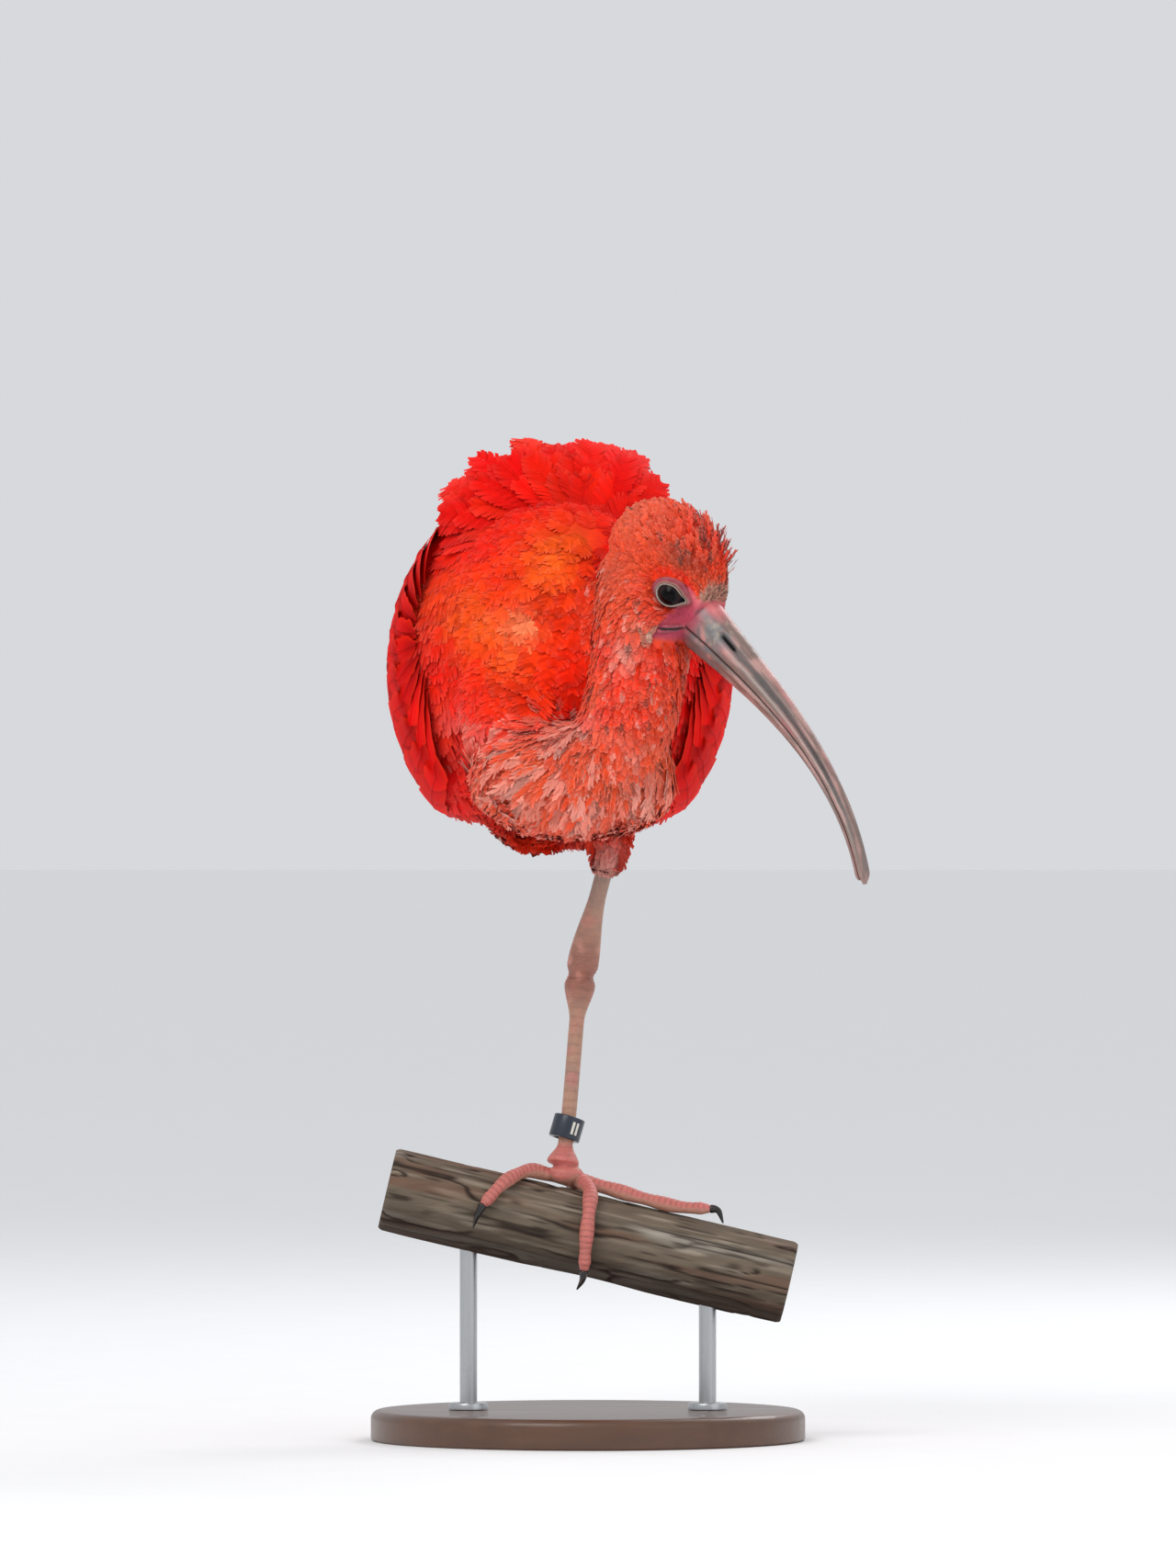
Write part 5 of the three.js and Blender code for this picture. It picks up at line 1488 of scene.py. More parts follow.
@dataclass
class Wing:
    """A folded wing: a thin bed over the torso's side, and its feathers in tiers over it."""

    side: int
    front: float = -44.0
    arm_end: float = 118.0
    tip: float = 204.0
    bed_share: float = 0.24
    depth: float = 6.8
    tiers: tuple[Tier, ...] = (
        # primaries, secondaries and tertials, then the greater, median, lesser and marginal coverts
        Tier(7, (80, 92), (0.2, 0.72), (88, 112), (0.2, 0.66), (2.0, 1.4), 8.0, 0.3, Dye.CRIMSON,
             Dye.UMBER * 0.25),
        Tier(10, (24, 52), (0.08, 0.62), (66, 72), (0.07, 0.54), (2.8, 3.2), 9.5, 0.55),
        Tier(4, (30, 40), (0.64, 0.93), (102, 96), (0.6, 0.88), (3.6, 4.2), 11.0, 0.45),
        Tier(10, (-8, 12), (0.08, 0.92), (40, 46), (0.08, 0.91), (4.8, 5.4), 8.8, 0.6),
        Tier(11, (-24, -10), (0.08, 0.92), (32, 36), (0.08, 0.91), (5.3, 5.7), 7.8, 0.6),
        Tier(11, (-36, -28), (0.08, 0.92), (26, 30), (0.08, 0.91), (5.6, 6.0), 7.0, 0.6),
        Tier(11, (-45, -41), (0.1, 0.92), (20, 24), (0.1, 0.9), (5.4, 5.6), 6.0, 0.6),
    )

    @staticmethod
    def low(s: Array) -> Array:
        """The wing's lower edge at s, as an angle up from the torso's side."""
        return np.radians(-50 * smooth(s, -62, -25) + 80 * smooth(s, 40, 204))

    @staticmethod
    def high(s: Array) -> Array:
        """The wing's upper edge at s."""
        return np.radians(2 + 50 * smooth(s, -62, -20) + 6 * smooth(s, 20, 140) - 12 * smooth(s, 150, 204))

    def at(self, s: Array, v: Array, lift: Array | float) -> Array:
        """Points on the wing at s and at share v from its lower edge to its upper one."""
        girth = TORSO.girth(np.minimum(s, TORSO.rear))
        share = (girth**4 + self.bed_share**4) ** 0.25 - 0.07 * smooth(s, 150, self.tip)
        return TORSO.at(s, lerp(self.low(s), self.high(s), v), lift, self.side, share)

    def bed(self) -> tuple[Array, Array, tuple[int, int]]:
        """The sheet that the feathers grow from, rounded off at its edges."""
        rows, columns = 26, 18
        along = np.repeat(np.linspace(0, 1, rows), columns)
        v = np.tile(np.linspace(-0.02, 1.06, columns), rows)
        s = lerp(self.front, self.arm_end, along)
        rounding = smooth(along, 0.0, 0.16) * np.minimum(1, np.sqrt((1 - along) / 0.5))
        edge = np.sqrt(np.clip(1 - ((v - 0.52) / 0.54) ** 12, 0, 1))
        lift = -5.0 + (self.depth + 4.0) * rounding * edge
        tint = np.tile(mix(Dye.CRIMSON[None], Dye.SCARLET, 0.4), (len(s), 1))
        return self.at(s, v, lift), tint, (rows, columns)

    def build(self) -> bpy.types.Object:
        """Lays every tier, from the tips forward."""
        vanes = Vanes()
        for n, tier in enumerate(self.tiers):
            for i in range(tier.count):
                self.feather(vanes, tier, i, n * 40 + i + (500 if self.side > 0 else 0))
        node = f"wing_{word(self.side)}"
        return Build.finish(vanes.piece(f"{node}_vanes", self.bed()), Finishes.VANE, Slot.WING, node)

    def feather(self, vanes: Vanes, tier: Tier, i: int, seed: int) -> None:
        """Lays one feather of a tier on the wing."""
        rng = np.random.default_rng(seed)
        share = i / (tier.count - 1)
        s = lerp(*tier.s, share) + rng.normal(0, 0.8)
        length = lerp(*tier.length, share) * rng.normal(1, 0.025)
        v0, v1 = lerp(*tier.v, share), lerp(*tier.tip_v, share) + rng.normal(0, 0.006)
        step = 0.12 * (i % 2)

        def line(t: Array) -> Array:
            """The shaft's places, which rise from under the breast feathers."""
            at = s + length * t
            lift = lerp(-4.0, lerp(*tier.lift, t), smooth(at, -66, -26))
            return self.at(at, lerp(v0, v1, t), lift + step)

        def out(t: Array) -> Array:
            """Straight off the wing along the shaft."""
            at, v = s + length * t, lerp(v0, v1, t)
            return unit(self.at(at, v, 12.0) - self.at(at, v, 0.0))

        deep = 0.2 + rng.random() * 0.35
        tint = mix(tier.tint[None], Dye.CRIMSON, deep)[0]
        vanes.add(line, out, tier.half, tint, tier.tip if i >= 2 else None, tier.point,
                  roll=self.side * math.radians(6), lopsided=0.25 * self.side, seed=seed)


@dataclass
class Tail:
    """The tail: twelve feathers in a narrow fan, the middle ones uppermost."""

    root: float = 132.0
    length: float = 88.0
    spread: float = math.radians(11)
    half: float = 10.0
    count: int = 12
    layer: float = 1.3

    def build(self) -> bpy.types.Object:
        """Lays the feathers from the outer ones inwards."""
        vanes = Vanes()
        for i in range(self.count):
            self.feather(vanes, i, 2 * i / (self.count - 1) - 1)
        return Build.finish(vanes.piece("tail_vanes"), Finishes.VANE, Slot.WING, "tail")

    def feather(self, vanes: Vanes, i: int, place: float) -> None:
        """Lays one feather at a place from -1 to 1 across the fan."""
        across, back, over = TORSO.axes
        swing = place * self.spread
        level = abs(place) * (self.count - 1) / 2 - 0.5 + (0.5 if place > 0 else 0)
        heading = back * math.cos(swing) + across * math.sin(swing)
        root = TORSO.at(np.float64(self.root - 6), 0.0, 0.0, 1, 0.0)
        start = root + across * place * 8 + over * (3.4 - self.layer * level)
        length = (self.length + 6) * (1 - 0.06 * place**2)

        def line(t: Array) -> Array:
            """The shaft's places, drooping a little."""
            return start + heading * (t * length)[:, None] + over * (-3 * t * t)[:, None]

        def out(t: Array) -> Array:
            """Upwards, leaning out at the sides."""
            return np.tile(unit(over + across * place * 0.12), (len(t), 1))

        vanes.add(line, out, self.half, Dye.SCARLET, None, 0.72, camber=0.1, lopsided=0.2 * np.sign(place),
                  swept=0.2, seed=700 + i)


@dataclass
class Eye:
    """One eye: a dark glossy ball and the almond ring of its two lids."""

    side: int
    turn: float = math.radians(25)
    rise: float = math.radians(7)
    reach: float = 6.3
    corner: float = 0.9
    tall: float = 4.75
    skin_level: float = 2.4

    @property
    def frame(self) -> Array:
        """Forward, up and outward as rows, in the model's frame."""
        out = np.array([math.sin(self.turn), self.side * math.cos(self.turn), 0.0])
        ahead = np.array([math.cos(self.turn), -self.side * math.sin(self.turn), 0.0])
        up = np.array([0.0, 0.0, 1.0])
        c, s = math.cos(self.rise), math.sin(self.rise)
        return HEAD.turn(np.array([ahead * c + up * s, up * c - ahead * s, out]))

    @property
    def middle(self) -> Array:
        """The ball's middle in the model's frame."""
        x, y, z = HEAD.eye
        return HEAD.out(np.array([[x, self.side * y, z]]))[0]

    def clear(self, p: Array) -> Array:
        """Presses the skin in under the lids and behind the eyeball."""
        ahead, up, out = self.frame
        d = p - self.middle
        round_ = np.hypot((d @ ahead) / 10.4, (d @ up) / 7.5)
        level = d @ out
        limit = lerp(-1.5, 1.3, smooth(round_, 0.55, 0.8)) + 14 * smooth(round_, 0.95, 1.9)
        return p - out * np.where((level > -8) & (round_ < 1.9), np.clip(level - limit, 0, None), 0)[:, None]

    def build(self) -> None:
        """Builds the ball and the lids."""
        self.ball()
        self.lids()

    def ball(self) -> bpy.types.Object:
        """The ball, with the pupil and the dark iris painted on it by angle."""
        Build.choose()
        bpy.ops.mesh.primitive_uv_sphere_add(segments=64, ring_count=40, radius=HEAD.eye_radius * MM)
        piece = bpy.context.object
        piece.name = piece.data.name = f"eyeball_{word(self.side)}"
        local = Build.points(piece)
        high = local[:, 2] / HEAD.eye_radius
        local[:, 2] += 0.35 * smooth(high, 0.82, 1.0)
        Build.move(piece, self.middle + local @ self.frame)
        tint = np.tile(Dye.NAVY * 0.35, (len(local), 1))
        ring = np.degrees(np.arccos(np.clip(high, -1, 1)))
        tint = mix(tint, Dye.TAWNY * 0.16, bell(ring, 40, 7))
        tint = mix(tint, Dye.BLACK * 0.3, 1 - smooth(ring, 26, 30))
        Build.dye(piece.data, tint)
        Build.choose(piece)
        bpy.ops.object.shade_smooth()
        return Build.finish(piece, Finishes.EYE, Slot.EYE, f"eye_{word(self.side)}")

    def lids(self) -> bpy.types.Object:
        """The lids: from the wall inside the opening over the rim and two folds to the skin."""
        around = 72
        phi = np.arange(around) / around * 2 * math.pi
        front = np.clip(np.cos(phi), 0, 1)
        x = self.reach * np.cos(phi) + self.corner * front**8
        y = self.tall * np.sin(phi) * (1 - 0.45 * front**2) * np.where(np.sin(phi) < 0, 0.93, 1.0)

        def ball(k: float) -> Array:
            """The ball's level under the lid's outline at k times its size."""
            return np.sqrt(np.clip(HEAD.eye_radius**2 - (x * k) ** 2 - (y * k) ** 2, 0.2, None))

        rim = np.maximum(ball(1.0), self.skin_level + 0.5) + 0.55
        low = self.skin_level
        skin = Dye.SHELL * 0.6
        # The first two rows, the wall inside the opening, are painted black as the shade in the gap between
        # lid and ball.
        rows = [
            (0.9, ball(0.9) - 0.4, Dye.BLACK), (0.97, ball(0.97) + 0.05, Dye.BLACK),
            (1.0, lerp(ball(1.0), rim, 0.6), Dye.UMBER), (1.04, rim, Dye.ASH),
            (1.08, rim + 0.1, Dye.PALE * 0.75),
            (1.12, rim - 0.1, Dye.TAWNY), (1.18, rim - 0.5, Dye.TAWNY), (1.24, lerp(rim, low, 0.4), skin),
            (1.29, lerp(rim, low, 0.6), Dye.LORE * 0.6), (1.36, lerp(rim, low, 0.95), Dye.LORE * 0.7),
            (1.6, np.full(around, low - 1.2), Dye.LORE * 0.7),
        ]
        ahead, up, out = self.frame
        points, tints = [], []
        for k, level, colour in rows:
            outline = ahead * (x * k)[:, None] + up * (y * k)[:, None]
            points.append(self.middle + outline + out * level[:, None])
            tints.append(np.tile(colour, (around, 1)))
        p, tint = np.vstack(points), np.vstack(tints)
        tint = mix(tint, Dye.SHELL, 0.1 + 0.1 * ripple(p, 1.6, 41))
        lie = np.repeat([k for k, _, _ in rows], around) * 6.0
        faces = Build.grid(len(rows), around, is_ring=True)
        piece = Build.mesh(f"eyelids_{word(self.side)}", p, faces, tint, lie)
        Build.modify(piece, "SUBSURF", levels=1, render_levels=1)
        if self.side < 0:
            Build.edit(piece, bpy.ops.mesh.flip_normals)
        return Build.finish(piece, Finishes.LID, Slot.LEG)


@dataclass
class Gape:
    """The folds of bare skin along the line of the mouth, from the bill back into the cheek."""

    skin: Skin
    line: tuple[tuple[float, float], ...] = (
        (12.6, -25.0), (20.0, -22.6), (27.0, -18.6), (31.5, -15.0), (36.5, -12.6),
    )
    strands: tuple[tuple[float, float, float], ...] = (
        (1.15, 1.25, 0.75), (-1.25, 1.35, 0.85), (0.0, 0.7, 0.1),
    )
    stations: int = 26

    def build(self) -> None:
        """Builds the folds of both sides."""
        for side in (1, -1):
            strands = [self.strand(side, n) for n in range(len(self.strands))]
            piece = Build.join(f"gape_folds_{word(side)}", strands)
            Build.finish(piece, Finishes.FACE, Slot.LEG)

    def strand(self, side: int, n: int) -> bpy.types.Object:
        """One fold above or below the mouth, or the strand between them, which comes last and is painted dark
        as the shade in the mouth's gap.
        """
        drop, width, sunk = self.strands[n]
        line = spline([self.on_skin(side, x, z + drop, sunk) for x, z in self.line], self.stations)
        share = np.clip(np.linspace(0, 1, self.stations) * 1.12, 0, 1)
        swell = np.sqrt(np.clip(np.sin(share * math.pi * 0.94 + 0.12), 0, 1))
        strand = Build.tube(f"strand_{n}", line, width * (0.25 + 0.75 * swell), 10)
        h = HEAD.into(Build.points(strand))
        if n == len(self.strands) - 1:
            # Painted shade: the strand along the mouth's gap is dark.
            tint = np.tile(Dye.UMBER * 0.35, (len(h), 1))
        else:
            tint = mix(np.tile(Dye.LORE, (len(h), 1)), Dye.ASH, 0.75 * smooth(-h[:, 0], -20, -12))
            tint = mix(tint, Dye.SLATE, 0.55 * smooth(h[:, 0], 27, 33))
        Build.dye(strand.data, tint)
        return strand

    def on_skin(self, side: int, x: float, z: float, sunk: float) -> Array:
        """The skin's surface at a place on the side of the head, less a depth."""
        outside = HEAD.out(np.array([[x, side * 26.0, z]]))[0]
        inwards = HEAD.turn(np.array([[0.0, -side * 1.0, 0.0]]))[0]
        hit, normal, _, _ = self.skin.tree.ray_cast(Vector(outside), Vector(inwards))
        if hit is None:
            cheek = HEAD.out(np.array([[x, side * 9.6, z]]))[0]
            hit, normal, _, _ = self.skin.tree.find_nearest(Vector(cheek))
        return np.array(hit) - np.array(normal) * sunk


class Half(Enum):
    """The bill's two halves."""

    UPPER = "bill_upper"
    LOWER = "bill_lower"


@dataclass
class Bill:
    """The long curved bill: two halves that part at the mouth line, grooved down each side."""

    start: float = 34.3
    drop: float = -11.5
    length: float = 153.0
    droop: tuple[float, float] = (math.radians(4), math.radians(44))
    root: tuple[float, float] = (9.4, 12.6)
    end: tuple[float, float] = (3.0, 3.4)
    mouth: float = math.asin(-0.18)
    steps: int = 190
    arc: int = 58

    def line(self, t: Array) -> tuple[Array, Array]:
        """The middle line at shares t in the head's frame, with the droop there."""
        fine = np.linspace(0, 1, 400)
        bend = lerp(self.droop[0], self.droop[1], fine**2.2)
        step = self.length / 399
        x = self.start + np.concatenate([[0], np.cumsum(np.cos(bend[:-1]) * step)])
        z = self.drop - np.concatenate([[0], np.cumsum(np.sin(bend[:-1]) * step)])
        back = np.minimum(t, 0) * self.length
        xs = np.interp(t, fine, x) + back * math.cos(self.droop[0])
        zs = np.interp(t, fine, z) - back * math.sin(self.droop[0])
        return np.stack([xs, np.zeros_like(xs), zs], axis=1), np.interp(t, fine, bend)

    def relief(self, t: Array, e: Array, half: Half) -> Array:
        """How far the surface stands off the plain oval, in millimetres.

        Args:
            t: The share along the bill.
            e: The angle up from the side, in degrees.
            half: Which half.

        Returns:
            The height there.
        """
        lips = -0.5 * bell(e, -10.4, 3.2) * smooth(t, 0.0, 0.05)
        if half is Half.LOWER:
            gutter = -0.45 * bell(e, -40, 9) * smooth(t, 0.03, 0.12) * (1 - smooth(t, 0.5, 0.75))
            return lips + gutter + 0.3 * bell(e, -22, 7) * (1 - smooth(t, 0.8, 0.95))
        fade = smooth(t, 0.06, 0.16) * (1 - smooth(t, 0.62, 0.86))
        groove = -1.5 * bell(e, 37, 10) * fade
        second = -0.4 * bell(e, 60, 7) * smooth(t, 0.0, 0.05) * (1 - smooth(t, 0.2, 0.45))
        ridge = 0.45 * bell(e, 14, 10) * smooth(t, 0.03, 0.12) * (1 - smooth(t, 0.8, 0.95))
        slot = -2.1 * bell(e, 38, 5.5) * smooth(t, 0.092, 0.106) * (1 - smooth(t, 0.15, 0.172))
        knob = 0.7 * bell(e, 20, 22) * bell(t, 0.035, 0.035)
        return lips + groove + second + ridge + slot + knob

    def shell(self, half: Half) -> bpy.types.Object:
        """One half as a closed sweep."""
        upper = half is Half.UPPER
        reach = 1.0 if upper else 0.985
        t = np.concatenate([np.linspace(-0.035, 0, 5)[:-1], np.linspace(0, 1, self.steps) * reach])
        left, right = self.mouth, math.pi - self.mouth
        span = (left, right) if upper else (right, 2 * math.pi + left)
        angle = np.linspace(*span, self.arc)
        middle, bend = self.line(t)
        u = np.clip(t, 0, 1)
        blunt = np.sqrt(1 - 0.88 * smooth(u, 0.955, 1) ** 2)
        wide = lerp(self.end[0], self.root[0], (1 - u) ** 1.6) * blunt
        high = lerp(self.end[1], self.root[1], (1 - u) ** 1.85) * blunt
        tt, aa = np.meshgrid(t, angle, indexing="ij")
        e = np.degrees(np.arcsin(np.clip(np.sin(aa), -1, 1)))
        rise = self.relief(tt, e, half) * np.minimum(1, high / 6)[:, None]
        flat = middle[:, None] * np.ones((1, len(angle), 1))
        round_ = flat + np.stack([0 * aa, np.cos(aa) * 8, np.sin(aa) * 8], -1)
        rough = 0.16 * ripple(HEAD.out(round_).reshape(-1, 3), 2.6, 51)
        rise = rise + rough.reshape(rise.shape) * (1 - smooth(tt, 0.1, 0.4) * 0.7)
        up = np.stack([np.sin(bend), 0 * bend, np.cos(bend)], axis=1)
        part = 0.16 if upper else -0.16
        y = np.cos(aa) * (wide[:, None] + rise)
        z = np.sin(aa) * (high[:, None] + rise) + part
        places = flat + up[:, None] * z[..., None]
        places[..., 1] += y
        points = HEAD.out(places.reshape(-1, 3))
        tint = self.tint(tt.ravel(), e.ravel(), points, half)
        rows, columns = len(t), len(angle)
        ends = np.stack([points[:columns].mean(0), points[-columns:].mean(0)])
        faces = Build.grid(rows, columns, is_ring=True)
        tints = np.vstack([tint, tint[:1], tint[-1:]])
        piece = Build.mesh(f"{half.value}_horn", np.vstack([points, ends]), faces, tints)
        count = rows * columns
        first, last = list(range(columns))[::-1], list(range(count - columns, count))
        Build.cap(piece, [(first, count), (last, count + 1)])
        Build.edit(piece, lambda: bpy.ops.mesh.normals_make_consistent(inside=False))
        Build.crease(piece, 50)
        return Build.finish(piece, Finishes.HORN, Slot.BILL, half.value)

    def tint(self, t: Array, e: Array, p: Array, half: Half) -> Array:
        """The horn's colour: pink ridges, grey grooves, slate blotches at the root, and painted shade in the
        groove, the nostril and the mouth line.
        """
        c = np.tile(mix(Dye.SHELL[None], Dye.LORE, 0.14)[0] * 0.85, (len(t), 1))
        along = np.stack([t * 60, e * 0.22, 0 * t], axis=1)
        streaks = ripple(along, 3.0, 52)
        c = mix(c, Dye.HORN * 0.85, 0.85 * smooth(streaks, -0.6, 0.4))
        c = mix(c, Dye.ROSE, 0.25 * smooth(ripple(along, 5.0, 53), 0.0, 0.8))
        c = mix(c, Dye.HORN, 0.5 * smooth(t, 0.55, 1.0))
        c = mix(c, Dye.SLATE, 0.35 * smooth(t, 0.75, 1.0) * smooth(streaks, -0.3, 0.5))
        if half is Half.UPPER:
            groove = 0.9 * bell(e, 36, 12) * smooth(t, 0.05, 0.16) * (1 - smooth(t, 0.7, 0.92))
            c = mix(c, Dye.SLATE * 0.7, groove)
            # Painted shade: a dark line along the bottom of the groove.
            c = mix(c, Dye.UMBER, 0.6 * bell(e, 37, 3.5) * smooth(t, 0.1, 0.2) * (1 - smooth(t, 0.6, 0.85)))
            blotch = smooth(ripple(p, 3.4, 54), -0.9, -0.3) * smooth(-e, -62, -48)
            c = mix(c, Dye.SLATE, 0.85 * blotch * (1 - smooth(t, 0.09, 0.18)))
            c = mix(c, Dye.ASH, 0.5 * smooth(ripple(p, 1.8, 55), 0.2, 0.6) * (1 - smooth(t, 0.08, 0.16)))
            c = mix(c, Dye.LORE, 0.8 * (1 - smooth(t, 0.0, 0.045)) * smooth(e, 45, 20))
            c = mix(c, Dye.ROSE, 0.8 * (1 - smooth(t, 0.0, 0.09)) * smooth(e, 35, 60))
            # Painted shade: the nostril's slit is darkened to near black.
            slot = bell(e, 38, 4.6) * smooth(t, 0.094, 0.104) * (1 - smooth(t, 0.15, 0.165))
            c = mix(c, Dye.BLACK * 0.4, np.clip(1.3 * slot, 0, 1))
        else:
            c = mix(c, Dye.SLATE, 0.75 * smooth(ripple(p, 2.8, 56), -0.5, 0.2) * (1 - smooth(t, 0.08, 0.24)))
            c = mix(c, Dye.HORN, 0.5 * bell(e, -40, 12))
            c = mix(c, Dye.LORE, 0.6 * (1 - smooth(t, -0.01, 0.03)))
        # Painted shade: dark along the line of the mouth, where the halves part.
        c = mix(c, Dye.UMBER * 0.4, 0.9 * bell(e, -10.4, 2.6))
        return mix(c, Dye.PALE, 0.25 * bell(e, 16, 5) * smooth(t, 0.1, 0.3) * (1 - smooth(t, 0.85, 1)))

    def build(self) -> None:
        """Builds both halves."""
        for half in Half:
            self.shell(half)


@dataclass
class Perch:
    """The cut branch that the bird grips, and places on its surface."""

    middle: tuple[float, float, float] = (0.0, 0.0, 93.7)
    radius: float = 19.5
    length: float = 190.0
    slope: float = math.radians(13.2)

    def at(self, x: Array, degrees: Array, lift: Array) -> Array:
        """Places over the branch at the model's x, an angle forwards from its top, and a lift."""
        x, degrees, lift = np.broadcast_arrays(np.asarray(x, float), degrees, lift)
        a, r = np.radians(degrees), self.radius + lift
        along = np.array([math.cos(self.slope), 0.0, -math.sin(self.slope)])
        over = np.array([math.sin(self.slope), 0.0, math.cos(self.slope)])
        core = np.asarray(self.middle) + along * (x / math.cos(self.slope))[..., None]
        back = np.array([0.0, 1.0, 0.0])
        return core + over * (r * np.cos(a))[..., None] - back * (r * np.sin(a))[..., None]

    def build(self) -> bpy.types.Object:
        """The branch with its bark's fibres, long cracks and sawn ends."""
        rows, around = 190, 168
        along = np.repeat(np.linspace(-0.5, 0.5, rows) * self.length, around)
        turn = np.tile(np.arange(around) / around * 360.0, rows)
        a = np.radians(turn)
        round_ = np.stack([along * 0.1, np.cos(a) * self.radius, np.sin(a) * self.radius], axis=1)
        sway = [1.5 * ripple(round_ * 0.6, 6, seed) for seed in (61, 62)]
        twisted = round_ + np.stack([0 * a, *sway], axis=1)
        fibre = ripple(twisted, 1.9, 63)
        plates = ripple(twisted, 4.2, 64)
        crack = smooth(1 - np.abs(ripple(twisted, 3.4, 65)), 0.86, 0.99) * smooth(plates, -0.5, 0.2)
        under = smooth(np.minimum(turn, 360 - turn), 85, 150)
        lift = 0.22 * fibre + 0.2 * plates - (0.8 + 0.7 * under) * crack - 0.1 + under * (0.8 * plates - 0.6)
        edge = smooth(np.abs(along), self.length / 2 - 1.6, self.length / 2)
        p = self.at(along * math.cos(self.slope), turn, lift - 1.0 * edge)
        c = np.tile(Dye.BARK, (len(p), 1))
        c = mix(c, Dye.ASH, 0.55 * smooth(fibre, 0.0, 0.8))
        c = mix(c, Dye.TAWNY, 0.45 * smooth(plates, 0.0, 0.7))
        c = mix(c, Dye.PALE * 0.8, 0.35 * smooth(ripple(round_, 7, 66), 0.35, 0.7))
        c = mix(c, Dye.UMBER * 0.3, 0.92 * crack)
        c = mix(c, Dye.UMBER * 0.35, 0.75 * smooth(-ripple(twisted, 1.3, 67), 0.3, 0.8))
        # Painted shade: the underside of the branch is darker.
        c = mix(c, Dye.UMBER * 0.5, 0.8 * under)
        points, tints, faces, caps = [p], [c], [Build.grid(rows, around, is_ring=True)], []
        order = np.arange(around)
        after = (order + 1) % around
        shares = (0.9, 0.72, 0.54, 0.36, 0.18)
        first = len(p)
        for start, turned in ((0, slice(None, None, -1)), (len(p) - around, slice(None))):
            rim = p[start : start + around]
            hub = rim.mean(axis=0)
            for share in shares:
                ring = hub + (rim - hub) * share
                grain = 0.72 + 0.28 * np.cos(share * 40 + ripple(ring, 7, 68))
                points.append(ring)
                tints.append(Dye.SAWN * grain[:, None])
            points.append(hub[None])
            tints.append(Dye.SAWN[None] * 0.5)
            outer = np.stack([start + order, start + after, first + after, first + order], axis=1)
            inner = Build.grid(len(shares), around, is_ring=True, start=first)
            faces += [outer[:, turned], inner[:, turned]]
            last = first + around * (len(shares) - 1)
            caps.append((list(range(last, last + around))[turned], last + around))
            first = last + around + 1
        piece = Build.mesh("branch_bark", np.vstack(points), np.vstack(faces), np.vstack(tints))
        Build.cap(piece, caps)
        Build.outwards(piece)
        return Build.finish(piece, Finishes.BARK, Slot.BARK, "perch_branch")


PERCH = Perch()


@dataclass
class Limb:
    """One length of a leg or toe, with the plates that its skin carries."""

    line: Array
    radius: Array
    pitch: float
    depth: float
    front: tuple[float, float, float] | None = None


